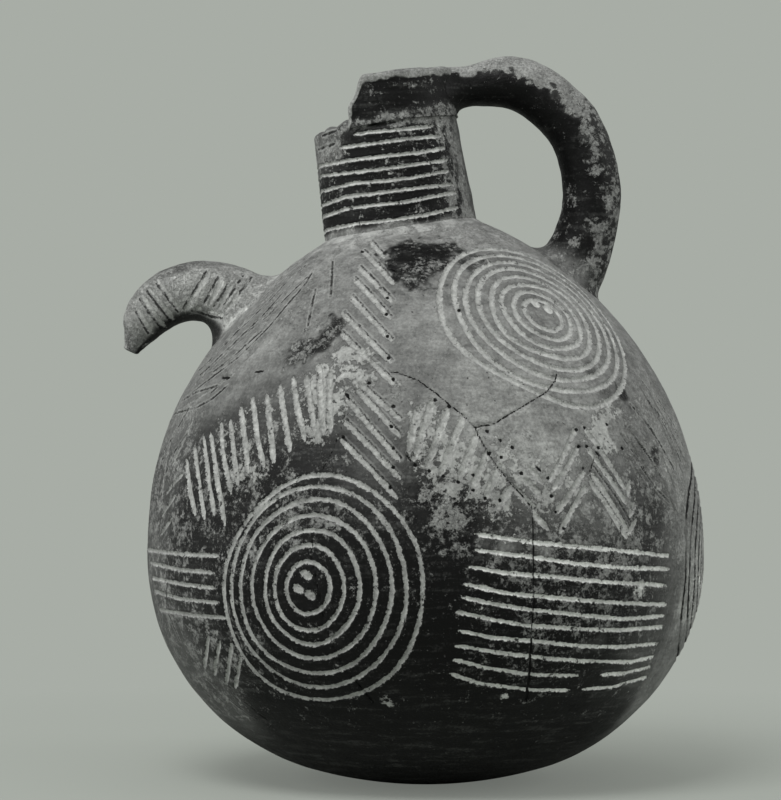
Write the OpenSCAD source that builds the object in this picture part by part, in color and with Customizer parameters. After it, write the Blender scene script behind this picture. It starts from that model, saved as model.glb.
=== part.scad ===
// Hand-built jug with a round body, a leaning neck, a high loop handle and a hooked horn spout.
// Lines cut through the burnished slip are filled with lime.
// The origin is on the body's axis at the resting face. +Z is up, the handle is towards +X,
// the horn towards -X, and the decorated front faces -Y. Lengths are in millimetres.

/* [Body] */
// Greatest radius of the body
belly_r = 111; // [106:1:116]
// Height of the greatest radius above the resting face
belly_z = 91; // [87:1:95]
// Radius of the flat on the round base
foot_r = 21; // [17:1:25]
// Radius of curvature of the round base
base_arc_r = 165; // [158:1:175]
// Radius of curvature of the shoulder, from belly to neck
shoulder_arc_r = 141; // [136:1:147]
// Thickness of the fired clay under the slip
wall = 5; // [4:0.5:6]
// Depth of the burnished slip coat, which the incised lines cut through
slip = 1; // [0.7:0.1:1.3]
// Height of the seam between the base bowl and the wall built up on it
base_seam_z = 29; // [25:1:32]

/* [Neck and mouth] */
// Distance of the neck's foot from the body's axis, towards the horn
neck_offset = 9.5; // [7:0.5:12]
// Lean of the neck towards the horn, in degrees
neck_lean = 8; // [5:0.5:10]
// Outer radius of the neck at its foot
neck_foot_r = 30.5; // [29:0.5:32]
// Outer radius of the neck under the mouth
neck_top_r = 28.3; // [27.5:0.1:29]
// Radius of the passage through the neck and the mouth
passage_r = 23.5; // [21:0.5:24.5]
// Length of the neck along its axis
neck_h = 45; // [41:1:50]
// Height of the mouth above the neck, on the neck's axis
mouth_h = 21; // [18:1:25]
// Step by which the mouth stands proud of the neck
mouth_step = 0.8; // [0.4:0.1:1.4]
// Slope of the rim against the neck's axis, down towards the handle, in degrees
rim_slope = 3.6; // [0:0.2:6]
// Distance from the neck's axis to the foot of the cutaway in the mouth
cutaway_foot = 18; // [14:1:20]
// Slope of the cutaway's edge against the neck's axis, in degrees
cutaway_slope = 25.7; // [20:0.1:30]
// Radius of the bead of clay that lutes the neck to the shoulder
luting_r = 3.2; // [2.6:0.1:3.6]

/* [Handle] */
// Radius of the handle's arm where it leaves the mouth
arm_r = 8.6; // [7.5:0.1:9.5]
// Radius of the handle round its bend
bend_r = 11; // [10:0.1:12]
// Radius of the handle's spread foot on the shoulder
root_r = 15.5; // [13:0.5:17]
// Distance from the body's axis to the handle's foot
root_x = 57; // [54:1:60]
// Pull of the arm on the handle's curve
arm_pull = 61; // [56:1:66]
// Rise of the arm from level, in degrees
arm_rise = 11; // [6:1:14]
// Pull of the foot on the handle's curve
root_pull = 62; // [57:1:67]
// Lean of the handle at its foot, in degrees
root_lean = 20.7; // [16:0.1:25]
// Radius of the tenon that goes through the shoulder
tenon_r = 7; // [5.5:0.5:8.5]
// Length of the tenon inside the body
tenon_inside = 3; // [2:0.5:5]

/* [Horn spout] */
// Distance from the body's axis to the middle of the horn's root
horn_x = 73; // [70:1:76]
// Half width of the horn's arch
arch_w = 27; // [24:1:30]
// Height of the horn's arch
arch_h = 25; // [22:1:28]
// Radius of the horn's spread root
horn_root_r = 17; // [15:0.5:19]
// Radius of the horn at its crown
horn_crown_r = 12.5; // [11.5:0.1:13.5]
// Radius of the horn's blunt end
horn_tip_r = 3.2; // [2.8:0.1:4]
// Radius of the horn's passage at the root
horn_bore_r = 5; // [4:0.5:6.5]
// Radius of the horn's passage at the end
tip_bore_r = 1.5; // [1:0.1:1.8]

/* [Incised decoration] */
// Width of a line in the circles and the panels
line_w = 1.9; // [1.4:0.1:2.4]
// Width of a stroke in the hatched bands
stroke_w = 2.1; // [1.6:0.1:2.6]
// Width of a fine line, round the neck and at the horn's root
fine_line_w = 1.3; // [1:0.1:1.8]
// Number of lines round the neck
neck_lines = 8; // [5:1:8]
// Distance from one neck line to the next
neck_line_step = 5; // [4:0.1:5.2]
// Height of the lowest neck line above the neck's foot
neck_line_foot = 5; // [4.8:0.1:5.6]
// Number of rings in the circle on the belly
belly_rings = 7; // [3:1:8]
// Radius of the outermost ring on the belly
belly_ring_r = 42; // [39:0.5:43]
// Number of rings in the circle on the shoulder
shoulder_rings = 8; // [3:1:8]
// Radius of the outermost ring on the shoulder
shoulder_ring_r = 39.5; // [36:0.5:40]
// Number of rings in the circle on the handle's side
side_rings = 6; // [3:1:7]
// Radius of the outermost ring on the handle's side
side_ring_r = 37; // [34:0.5:38]
// Radius of a dab of lime in the middle of a circle
dab_r = 1.8; // [1.4:0.1:2.2]

/* [Hidden] */
$fn = 96;

clay = "#5b5852";
dark_slip = "#35342f";
grey_slip = "#77756d";
pale_slip = "#8f8d84";
lime = "#d8d7cf";

// Clearance between the tenon and its hole
fit = 0.3;
// Overrun of every cut past the face that it opens
over = 2;
// Length that reaches past the whole jug from any point in it
reach = 3 * belly_r;

// Arcs of the body's outline: base, lower belly and shoulder, each tangent to the next
base_arc_z = sqrt(base_arc_r ^ 2 - foot_r ^ 2);
low_arc_r = (base_arc_r ^ 2 - belly_r ^ 2 - (base_arc_z - belly_z) ^ 2) / (2 * (base_arc_r - belly_r));
low_arc_x = belly_r - low_arc_r;
shoulder_arc_x = belly_r - shoulder_arc_r;
tangent_turn = atan2(low_arc_x, base_arc_z - belly_z);
tangent_z = belly_z - low_arc_r * cos(tangent_turn);
body_h = belly_z + sqrt(shoulder_arc_r ^ 2 - shoulder_arc_x ^ 2);
shell = wall + slip;

function body_radius(z) =
    z >= belly_z ? shoulder_arc_x + sqrt(shoulder_arc_r ^ 2 - (z - belly_z) ^ 2)
    : z >= tangent_z ? low_arc_x + sqrt(low_arc_r ^ 2 - (belly_z - z) ^ 2)
    : sqrt(base_arc_r ^ 2 - (base_arc_z - z) ^ 2);
function shoulder_z(r) = belly_z + sqrt(shoulder_arc_r ^ 2 - (r - shoulder_arc_x) ^ 2);
function unit(v) = v / norm(v);

// A place on the body is an azimuth in degrees, from the front towards the handle,
// and a height as a share of the body's height.
function on_body(place) =
    let(z = place[1] * body_h, r = body_radius(z))
    [r * sin(place[0]), -r * cos(place[0]), z];
function outward(place) =
    let(z = place[1] * body_h,
        centre_r = z >= belly_z ? shoulder_arc_x : low_arc_x,
        slope = unit([body_radius(z) - centre_r, z - belly_z]))
    [slope[0] * sin(place[0]), -slope[0] * cos(place[0]), slope[1]];

// Neck and mouth, in the neck's own frame: +Z along its axis, +X towards the handle
neck_z = shoulder_z(norm([neck_offset, neck_foot_r]));
mouth_r = neck_top_r + mouth_step;
mouth_top = neck_h + mouth_h;
cutaway_top = (mouth_h * tan(cutaway_slope) - cutaway_foot) / (1 + tan(cutaway_slope) * tan(rim_slope));
function rim_h(x) = mouth_top - x * tan(rim_slope);
function neck_to_jug(x, h) =
    [x * cos(neck_lean) - h * sin(neck_lean) - neck_offset, 0, neck_z + x * sin(neck_lean) + h * cos(neck_lean)];
rim_back = neck_to_jug(mouth_r, rim_h(mouth_r));

// Handle's centreline: a cubic curve from inside the mouth's wall to the shoulder
arm_start = [rim_back[0] - arm_r, 0, rim_back[2] - arm_r];
root_way = [sin(root_lean), 0, cos(root_lean)];
root_end = [root_x, 0, shoulder_z(root_x)];
arm_knee = arm_start + arm_pull * [cos(arm_rise), 0, sin(arm_rise)];
root_knee = root_end + root_pull * root_way;
handle_steps = 22;
handle_sides = 20;
// Share of the handle's length over which the arm thickens to the bend
arm_grow_share = 0.4;
// Power by which the foot spreads
root_spread = 8;
function handle_point(t) =
    (1 - t) ^ 3 * arm_start + 3 * (1 - t) ^ 2 * t * arm_knee
    + 3 * (1 - t) * t ^ 2 * root_knee + t ^ 3 * root_end;
function ease(t) = let(c = min(1, max(0, t))) c * c * (3 - 2 * c);
function handle_radius(t) =
    arm_r + (bend_r - arm_r) * ease(t / arm_grow_share) + (root_r - bend_r) * t ^ root_spread;
handle_path = concat(
    [for (i = [0:handle_steps]) handle_point(i / handle_steps)],
    [root_end - root_r * root_way]
);
handle_radii = concat([for (i = [0:handle_steps]) handle_radius(i / handle_steps)], [root_r]);

// Horn's centreline: an elliptical arch that leaves the shoulder at an angle of 45 degrees
horn_root = [-horn_x, 0, shoulder_z(horn_x)];
arch_centre = horn_root - [arch_w * cos(45), 0, arch_h * sin(45)];
horn_start_turn = 25;
horn_root_turn = 45;
horn_end_turn = 172;
horn_steps = 14;
horn_sides = 16;
// Shares of the arch from root to end, each with the horn's radius there as a share of the crown's
horn_taper_share = [[0, 1], [0.34, 0.97], [0.5, 0.92], [0.65, 0.83], [0.8, 0.68], [0.92, 0.46], [1, 0.26]];
horn_way = unit([-arch_w * sin(horn_root_turn), 0, arch_h * cos(horn_root_turn)]);
function horn_turn(t) = horn_start_turn + t * (horn_end_turn - horn_start_turn);
function horn_point(t) = arch_centre + [arch_w * cos(horn_turn(t)), 0, arch_h * sin(horn_turn(t))];
function horn_taper(t) =
    let(share = lookup(t, horn_taper_share), last = horn_taper_share[len(horn_taper_share) - 1][1])
    horn_tip_r + (horn_crown_r - horn_tip_r) * (share - last) / (1 - last);
function horn_radius(t) = horn_taper(t) + (horn_root_r - horn_crown_r) * (1 - ease(2.5 * t));
function horn_bore(t) = tip_bore_r + (horn_bore_r - tip_bore_r) * (1 - t);
horn_path = [for (i = [0:horn_steps]) horn_point(i / horn_steps)];
horn_tip_over = unit(horn_path[horn_steps] - horn_path[horn_steps - 1]) * over;
bore_path = concat(horn_path, [horn_path[horn_steps] + horn_tip_over]);
function horn_radii(inset) = [for (i = [0:horn_steps]) horn_radius(i / horn_steps) - inset];
bore_radii = concat([for (i = [0:horn_steps]) horn_bore(i / horn_steps)], [tip_bore_r]);

// Breaks through the wall, from place to place: heights as shares of the body's height
top_break_share = [[-18, 0.666], [-11, 0.709], [-7, 0.706], [-2, 0.693], [2, 0.672], [5, 0.653], [10, 0.618]];
slant_break_share = [[10, 0.618], [12.5, 0.573], [16, 0.536], [20.5, 0.487], [22.5, 0.35]];
foot_break_share = [[22.5, 0.35], [24.5, 0.172], [-10, 0.167]];
left_break_share = [[-10, 0.167], [-17, 0.191], [-21, 0.258], [-23, 0.34], [-23, 0.404], [-22, 0.52], [-18, 0.63]];
right_break_share = [[10, 0.618], [13, 0.621], [18, 0.638], [23, 0.658], [30.5, 0.694]];
edge_break_share = [[39, 0.612], [35, 0.555], [30, 0.475], [27.5, 0.379]];

// Places of the circles' middles
front_circle_share = [-24, 0.35];
shoulder_circle_share = [35.5, 0.806];
handle_side_share = [85, 0.384];

// Hatched fields: first and last stroke's start, then first and last stroke's end
centre_band_share = [[-32, 0.925], [-15.5, 0.68], [-18, 0.885], [-6, 0.612]];
centre_foot_share = [[-18, 0.655], [-18, 0.585], [-5, 0.565], [-7, 0.508]];
left_band_share = [[-60, 0.564], [-24, 0.698], [-52, 0.462], [-21, 0.609]];
right_band_share = [[0, 0.648], [16, 0.56], [-4, 0.586], [13, 0.496]];
zigzag_down_share = [[20, 0.555], [20.5, 0.505], [23, 0.526], [24, 0.467]];
zigzag_up_share = [[26, 0.535], [28, 0.462], [33, 0.61], [34, 0.528]];
zigzag_fall_share = [[36.5, 0.615], [35.5, 0.545], [47, 0.49], [42, 0.46]];
zigzag_field_share = [[54, 0.67], [42, 0.625], [61, 0.545], [52, 0.495]];
right_panel_share = [[9, 0.441], [5, 0.217], [56, 0.401], [59, 0.195]];
left_panel_share = [[-77, 0.398], [-73, 0.303], [-52, 0.405], [-51, 0.302]];
low_strokes_share = [[-51, 0.268], [-43, 0.235], [-57, 0.212], [-49, 0.183]];
horn_side_share = [[-74, 0.62], [-88, 0.56], [-70, 0.495], [-82, 0.43]];
chevrons_share = [[-60, 0.537], [-60, 0.47], [-67, 0.499], [-66, 0.43]];
horn_root_strokes_share = [[-66, 0.915], [-51, 0.74], [-80, 0.75], [-79, 0.65]];
centre_count = 11;
centre_foot_count = 4;
left_count = 14;
right_count = 9;
zigzag_down_count = 4;
zigzag_up_count = 5;
zigzag_fall_count = 5;
zigzag_field_count = 5;
right_panel_count = 10;
left_panel_count = 5;
low_count = 4;
chevron_count = 4;
horn_root_count = 6;
horn_side_count = 5;

// Strokes on the horn: turn of the arch at the first and last stroke, and the stroke's slant
horn_hooks_turn = [118, 158];
horn_hooks_slant = -25;
horn_hooks_count = 4;
horn_leaves_turn = [62, 96];
horn_leaves_slant = 25;
horn_leaves_count = 4;
// Length of a horn stroke as a share of the horn's diameter there
horn_stroke_share = 0.62;

// Part of the neck that stays plain towards the handle, in degrees
neck_plain = 76;

// Outline of half the body, with each arc drawn in by an inset
module profile(inset = 0) {
    tangent_far = [low_arc_x + reach * sin(tangent_turn), belly_z - reach * cos(tangent_turn)];
    intersection() {
        union() {
            intersection() {
                translate([shoulder_arc_x, belly_z]) circle(r = shoulder_arc_r - inset);
                translate([0, belly_z]) square([reach, reach]);
            }
            intersection() {
                translate([low_arc_x, belly_z]) circle(r = low_arc_r - inset);
                polygon([[low_arc_x, belly_z], tangent_far, [reach, -reach], [reach, belly_z]]);
            }
            intersection() {
                translate([0, base_arc_z]) circle(r = base_arc_r - inset);
                polygon([[0, belly_z], [0, -reach], tangent_far, [low_arc_x, belly_z]]);
            }
        }
        square([reach, reach]);
    }
}

module body_solid(inset = 0) {
    rotate_extrude() profile(inset);
}

// Outline of the body between two insets, above the base seam
module ring_outline(outer, inner) {
    intersection() {
        difference() {
            profile(outer);
            profile(inner);
        }
        translate([0, base_seam_z]) square([reach, reach]);
    }
}

module wall_outline() ring_outline(slip, shell);
module coat_outline() ring_outline(0, slip);

module at_neck() {
    translate([-neck_offset, 0, neck_z]) rotate([0, -neck_lean, 0]) children();
}

module passage() {
    at_neck() translate([0, 0, -neck_foot_r]) cylinder(r = passage_r, h = reach);
}

// Holes through the shell for the passage, the handle's tenon and the horn's passage
module shell_holes() {
    passage();
    tenon_bar(tenon_r + fit);
    horn_hole();
}

module tenon_bar(r) {
    translate(root_end) rotate([0, root_lean + 180, 0])
        translate([0, 0, -root_r / 2]) cylinder(r = r, h = root_r / 2 + 2 * shell);
}

module horn_hole() {
    translate(horn_root) rotate([0, -atan2(-horn_way[0], horn_way[2]), 0])
        cylinder(r = horn_bore_r, h = 4 * shell, center = true);
}

// Block that takes a sherd's outline through the front of the wall
module sherd_block(places) {
    outline = [for (p = places) let(q = on_body(p)) [q[0], q[2]]];
    rotate([90, 0, 0]) linear_extrude(reach) polygon(outline);
}

function turned_round(list) = [for (i = [len(list) - 1:-1:0]) list[i]];
function inner_points(list) = [for (i = [1:len(list) - 1]) list[i]];

module middle_block() {
    sherd_block(concat(
        top_break_share, inner_points(slant_break_share), inner_points(foot_break_share),
        inner_points(left_break_share)
    ));
}

module right_block() {
    sherd_block(concat(
        right_break_share, edge_break_share,
        turned_round(inner_points(slant_break_share))
    ));
}

// Tube through points in the XZ plane, with a radius at each
module sweep(path, radii, sides) {
    last = len(path) - 1;
    ring = [for (k = [0:sides - 1]) 360 * k / sides];
    points = [
        for (i = [0:last])
            let(way = unit(path[min(last, i + 1)] - path[max(0, i - 1)]), across = [way[2], 0, -way[0]])
            for (a = ring) path[i] + radii[i] * (cos(a) * across + [0, sin(a), 0])
    ];
    sides_faces = [
        for (i = [0:last - 1]) for (k = [0:sides - 1])
            let(n = (k + 1) % sides, a = i * sides, b = a + sides)
            each [[a + k, b + n, a + n], [a + k, b + k, b + n]]
    ];
    ends = [
        [for (k = [0:sides - 1]) k],
        [for (k = [sides - 1:-1:0]) last * sides + k]
    ];
    polyhedron(points = points, faces = concat(sides_faces, ends), convexity = 6);
}

// Cutter for a straight stroke from one place on the body to another
module stroke(from_place, to_place, w) {
    from = on_body(from_place);
    to = on_body(to_place);
    middle = (from + to) / 2;
    span = norm(to - from);
    along = unit(to - from);
    normal = outward((from_place + to_place) / 2);
    up = unit(normal - (normal * along) * along);
    side = cross(up, along);
    bulge = span ^ 2 / (4 * belly_r);
    multmatrix([
        [along[0], side[0], up[0], middle[0]],
        [along[1], side[1], up[1], middle[1]],
        [along[2], side[2], up[2], middle[2]]
    ])
        translate([-span / 2, -w / 2, -2 * slip]) cube([span, w, bulge + 4 * slip]);
}

// Cutters for a field of strokes between four corners
module strokes(corners, count, w) {
    for (i = [0:count - 1]) {
        t = i / max(1, count - 1);
        stroke(
            (1 - t) * corners[0] + t * corners[1],
            (1 - t) * corners[2] + t * corners[3],
            w
        );
    }
}

module at_body(place) {
    p = on_body(place);
    n = outward(place);
    translate(p) rotate([0, 0, place[0]]) rotate([90 - asin(n[2]), 0, 0]) children();
}

// Cutters for concentric rings about a place on the body, with dabs in the middle
module rings(place, count, outer_r, dabs) {
    dig = outer_r ^ 2 / (1.2 * low_arc_r);
    step = outer_r / (count + 0.8);
    at_body(place) {
        for (i = [1:count]) {
            r = outer_r - (count - i) * step;
            difference() {
                translate([0, 0, -dig]) cylinder(r = r, h = dig + over);
                translate([0, 0, -dig - over]) cylinder(r = r - line_w, h = dig + 3 * over);
            }
        }
        for (i = [1:dabs])
            rotate([0, 0, 360 * i / dabs]) translate([2 * dab_r, 0, -2 * slip])
                cylinder(r = dab_r, h = 2 * slip + over);
    }
}

module neck_rings() {
    at_neck() for (i = [0:neck_lines - 1]) {
        translate([0, 0, neck_line_foot + i * neck_line_step - fine_line_w / 2])
            rotate([0, 0, neck_plain / 2]) rotate_extrude(angle = 360 - neck_plain)
                translate([passage_r, 0]) square([neck_foot_r, fine_line_w]);
    }
}

module front_circle_cut() rings(front_circle_share, belly_rings, belly_ring_r, 3);
module shoulder_circle_cut() rings(shoulder_circle_share, shoulder_rings, shoulder_ring_r, 2);
module handle_side_cut() rings(handle_side_share, side_rings, side_ring_r, 3);
module centre_band_cut() {
    strokes(centre_band_share, centre_count, stroke_w);
    strokes(centre_foot_share, centre_foot_count, stroke_w);
}
module left_band_cut() strokes(left_band_share, left_count, stroke_w);
module right_band_cut() strokes(right_band_share, right_count, stroke_w);
module zigzag_cut() {
    strokes(zigzag_down_share, zigzag_down_count, line_w);
    strokes(zigzag_up_share, zigzag_up_count, line_w);
    strokes(zigzag_fall_share, zigzag_fall_count, line_w);
    strokes(zigzag_field_share, zigzag_field_count, line_w);
}
module right_panel_cut() strokes(right_panel_share, right_panel_count, line_w);
module left_panel_cut() strokes(left_panel_share, left_panel_count, line_w);
module low_strokes_cut() strokes(low_strokes_share, low_count, line_w);
module chevrons_cut() strokes(chevrons_share, chevron_count, line_w);
module horn_root_cut() strokes(horn_root_strokes_share, horn_root_count, fine_line_w);
module horn_side_half() strokes(horn_side_share, horn_side_count, line_w);
module to_back() mirror([0, 1, 0]) children();
module horn_side_cut() {
    horn_side_half();
    to_back() horn_side_half();
}
module back_bands_cut() to_back() {
    strokes(centre_band_share, centre_count, stroke_w);
    left_band_cut();
}
module back_panels_cut() to_back() {
    right_panel_cut();
    left_panel_cut();
}

module inlay() {
    color(lime) intersection() {
        rotate_extrude() coat_outline();
        children();
    }
}

module base_bowl() {
    color(dark_slip) rotate_extrude() {
        intersection() {
            difference() {
                profile(0);
                profile(shell);
            }
            square([reach, base_seam_z]);
        }
    }
}

module body_wall() {
    color(clay) difference() {
        rotate_extrude() wall_outline();
        shell_holes();
        middle_block();
        right_block();
    }
}

module middle_sherd() {
    color(clay) intersection() {
        rotate_extrude() wall_outline();
        middle_block();
    }
}

module right_sherd() {
    color(clay) intersection() {
        rotate_extrude() wall_outline();
        right_block();
    }
}

// Half of the slip coat, with the holes through it
module coat_half(turn) {
    difference() {
        rotate([0, 0, turn]) rotate_extrude(angle = 180) coat_outline();
        shell_holes();
    }
}

module slip_coat_front() {
    color(grey_slip) difference() {
        difference() {
            coat_half(180);
            middle_block();
            right_block();
        }
        front_circle_cut();
        shoulder_circle_cut();
        handle_side_cut();
        horn_side_half();
        horn_root_cut();
        centre_band_cut();
        left_band_cut();
        right_band_cut();
        zigzag_cut();
        right_panel_cut();
        left_panel_cut();
        low_strokes_cut();
        chevrons_cut();
    }
}

module slip_coat_back() {
    color(dark_slip) difference() {
        coat_half(0);
        handle_side_cut();
        to_back() horn_side_half();
        to_back() front_circle_cut();
        to_back() shoulder_circle_cut();
        back_bands_cut();
        back_panels_cut();
    }
}

module slip_coat_middle_sherd() {
    color(dark_slip) difference() {
        intersection() {
            rotate_extrude() coat_outline();
            middle_block();
        }
        front_circle_cut();
        centre_band_cut();
        right_band_cut();
        zigzag_cut();
        right_panel_cut();
    }
}

module slip_coat_right_sherd() {
    color(pale_slip) difference() {
        intersection() {
            rotate_extrude() coat_outline();
            right_block();
        }
        shoulder_circle_cut();
        right_band_cut();
        zigzag_cut();
        right_panel_cut();
    }
}

module neck_cone(inset) {
    at_neck() translate([0, 0, -neck_foot_r])
        cylinder(
            r1 = neck_foot_r + (neck_foot_r - neck_top_r) * neck_foot_r / neck_h - inset,
            r2 = neck_top_r - inset,
            h = neck_h + neck_foot_r
        );
}

module neck() {
    color(clay) difference() {
        neck_cone(slip);
        body_solid();
        passage();
    }
}

module slip_coat_neck() {
    color(dark_slip) difference() {
        neck_cone(0);
        neck_cone(slip);
        body_solid();
        neck_rings();
    }
}

module lime_neck_lines() {
    color(lime) intersection() {
        difference() {
            neck_cone(0);
            neck_cone(slip);
        }
        neck_rings();
    }
}

module neck_luting() {
    color(pale_slip) difference() {
        at_neck() rotate_extrude() translate([neck_foot_r, luting_r / 4]) circle(r = luting_r);
        neck_cone(0);
        body_solid();
    }
}

module mouth() {
    color(dark_slip) intersection() {
        difference() {
            at_neck() translate([0, 0, neck_h]) cylinder(r = mouth_r, h = 2 * mouth_h);
            passage();
        }
        at_neck() rotate([90, 0, 0]) linear_extrude(reach, center = true) polygon([
            [-cutaway_foot, neck_h],
            [cutaway_top, rim_h(cutaway_top)],
            [mouth_r + over, rim_h(mouth_r + over)],
            [mouth_r + over, neck_h]
        ]);
    }
}

module handle() {
    color(dark_slip) {
        difference() {
            sweep(handle_path, handle_radii, handle_sides);
            at_neck() cylinder(r = mouth_r, h = reach);
            body_solid();
        }
        tenon();
    }
}

module tenon() {
    translate(root_end) rotate([0, root_lean + 180, 0])
        translate([0, 0, -root_r / 2]) cylinder(r = tenon_r, h = root_r / 2 + shell + tenon_inside);
}

module horn_spout() {
    color(pale_slip) difference() {
        sweep(horn_path, horn_radii(0), horn_sides);
        sweep(bore_path, bore_radii, horn_sides / 2);
        body_solid();
        horn_skin_strokes();
    }
}

// Cutters for the strokes on both flanks of the horn, from its side towards its middle plane
module horn_strokes_cut(turns, slant, count) {
    for (i = [0:count - 1]) {
        turn = turns[0] + (turns[1] - turns[0]) * i / max(1, count - 1);
        t = (turn - horn_start_turn) / (horn_end_turn - horn_start_turn);
        translate(horn_point(t)) rotate([0, 90 - turn + slant, 0])
            cube([line_w, reach, 2 * horn_stroke_share * horn_radius(t)], center = true);
    }
}

module horn_skin_strokes() {
    intersection() {
        difference() {
            sweep(horn_path, horn_radii(0), horn_sides);
            sweep(horn_path, horn_radii(slip), horn_sides);
            body_solid();
        }
        union() {
            horn_strokes_cut(horn_hooks_turn, horn_hooks_slant, horn_hooks_count);
            horn_strokes_cut(horn_leaves_turn, horn_leaves_slant, horn_leaves_count);
        }
    }
}

module lime_horn_strokes() color(lime) horn_skin_strokes();
module lime_front_circle() inlay() front_circle_cut();
module lime_shoulder_circle() inlay() shoulder_circle_cut();
module lime_handle_side_circle() inlay() handle_side_cut();
module lime_horn_side_strokes() inlay() horn_side_cut();
module lime_horn_root_strokes() inlay() horn_root_cut();
module lime_centre_band() inlay() centre_band_cut();
module lime_left_band() inlay() left_band_cut();
module lime_right_band() inlay() right_band_cut();
module lime_zigzag() inlay() zigzag_cut();
module lime_right_panel() inlay() right_panel_cut();
module lime_left_panel() inlay() left_panel_cut();
module lime_low_strokes() inlay() low_strokes_cut();
module lime_chevrons() inlay() chevrons_cut();
module lime_back_circle() inlay() to_back() front_circle_cut();
module lime_back_shoulder_circle() inlay() to_back() shoulder_circle_cut();
module lime_back_bands() inlay() back_bands_cut();
module lime_back_panels() inlay() back_panels_cut();

base_bowl();
body_wall();
middle_sherd();
right_sherd();
neck();
neck_luting();
mouth();
handle();
horn_spout();
slip_coat_front();
slip_coat_back();
slip_coat_middle_sherd();
slip_coat_right_sherd();
slip_coat_neck();
lime_neck_lines();
lime_front_circle();
lime_shoulder_circle();
lime_handle_side_circle();
lime_horn_side_strokes();
lime_horn_root_strokes();
lime_centre_band();
lime_left_band();
lime_right_band();
lime_zigzag();
lime_right_panel();
lime_left_panel();
lime_low_strokes();
lime_chevrons();
lime_horn_strokes();
lime_back_circle();
lime_back_shoulder_circle();
lime_back_bands();
lime_back_panels();
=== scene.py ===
import math

import bpy
import numpy as np
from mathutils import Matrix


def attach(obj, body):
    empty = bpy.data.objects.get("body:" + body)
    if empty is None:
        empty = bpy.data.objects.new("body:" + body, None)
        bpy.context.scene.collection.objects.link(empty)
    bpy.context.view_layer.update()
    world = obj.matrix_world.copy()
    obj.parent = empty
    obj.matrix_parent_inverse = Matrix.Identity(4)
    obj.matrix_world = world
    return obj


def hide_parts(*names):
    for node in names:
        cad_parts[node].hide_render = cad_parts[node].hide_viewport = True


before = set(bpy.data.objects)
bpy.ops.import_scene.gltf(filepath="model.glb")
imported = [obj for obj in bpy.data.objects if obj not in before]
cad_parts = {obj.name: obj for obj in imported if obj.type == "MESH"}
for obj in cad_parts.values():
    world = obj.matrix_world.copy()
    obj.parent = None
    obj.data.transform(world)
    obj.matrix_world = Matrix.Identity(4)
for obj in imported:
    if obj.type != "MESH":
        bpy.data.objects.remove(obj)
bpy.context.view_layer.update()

# Lengths are in millimetres until a mesh is made, and pixels are those of the 781 by 800 photograph.
MM = 0.001

# The photograph's camera: its place, the picture's middle, the scale where y is 0 and the film's height
CAM = np.array([-13.8, -1260.0, 151.2])
MID = np.array([390.5, 400.0])
PX = 0.4
FILM = 36.0


def pixels(text):
    """Pixel points written as 'x,y x,y ...'."""
    return np.array([[float(v) for v in pair.split(",")] for pair in text.split()])


def project(p):
    k = -CAM[1] / (p[:, 1] - CAM[1])
    return np.stack([MID[0] + (p[:, 0] - CAM[0]) * k / PX, MID[1] - (p[:, 2] - CAM[2]) * k / PX], 1)


def cast(px, height):
    """Where rays through pixels first meet the surface that height(points) is zero on."""
    px = np.atleast_2d(px)
    way = np.stack([(px[:, 0] - MID[0]) * PX, np.full(len(px), -CAM[1]), (MID[1] - px[:, 1]) * PX], 1)
    t = np.linspace(0.88, 1.01, 240)
    grid = CAM + way[:, None, :] * t[None, :, None]
    h = height(grid.reshape(-1, 3)).reshape(len(px), -1)
    hit = h <= 0
    first = np.where(hit.any(1), hit.argmax(1), h.argmin(1))
    hi, lo = t[first], t[np.maximum(first - 1, 0)]
    for _ in range(24):
        mid = (lo + hi) / 2
        inside = height(CAM + way * mid[:, None]) <= 0
        hi, lo = np.where(inside, mid, hi), np.where(inside, lo, mid)
    return CAM + way * np.where(hit.any(1), hi, t[first])[:, None]


def trace(px, height, step=4.0):
    """A pixel polyline, cast onto a surface at points about a step of pixels apart."""
    out = [px[:1]]
    for a, b in zip(px[:-1], px[1:]):
        n = max(1, int(math.ceil(np.linalg.norm(b - a) / step)))
        out.append(a + (b - a) * (np.arange(1, n + 1) / n)[:, None])
    return cast(np.concatenate(out), height)


# Noise
def lattice(i, seed):
    h = (i[..., 0] * 73856093) ^ (i[..., 1] * 19349663) ^ (i[..., 2] * 83492791) ^ (seed * 26544357)
    h = ((h ^ (h >> 13)) * 1274126177) & 0xFFFFFFFF
    h ^= h >> 16
    return (h & 0xFFFF) / 32767.5 - 1


def noise(p, size, seed=0):
    q = p / size + 101.3
    i = np.floor(q).astype(np.int64)
    f = q - i
    w = f * f * (3 - 2 * f)
    total = 0
    for dx in (0, 1):
        for dy in (0, 1):
            for dz in (0, 1):
                c = lattice(i + np.array([dx, dy, dz]), seed)
                total = total + c * (
                    (w[..., 0] if dx else 1 - w[..., 0])
                    * (w[..., 1] if dy else 1 - w[..., 1])
                    * (w[..., 2] if dz else 1 - w[..., 2])
                )
    return total


def smooth(x, a, b):
    t = np.clip((x - a) / (b - a), 0, 1)
    return t * t * (3 - 2 * t)


def hump(x, at, width):
    return np.exp(-(((x - at) / width) ** 2))


# The body's surface
BELLY_R, BELLY_Z, FOOT_R, BASE_R, TOP_R, SEAM_Z, WALL = 111.0, 91.0, 21.0, 165.0, 141.0, 29.0, 6.0
BASE_Z = math.sqrt(BASE_R**2 - FOOT_R**2)
LOW_R = (BASE_R**2 - BELLY_R**2 - (BASE_Z - BELLY_Z) ** 2) / (2 * (BASE_R - BELLY_R))
LOW_X, TOP_X = BELLY_R - LOW_R, BELLY_R - TOP_R
BODY_H = BELLY_Z + math.sqrt(TOP_R**2 - TOP_X**2)
TANGENT = math.atan2(LOW_X, BASE_Z - BELLY_Z)


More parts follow.
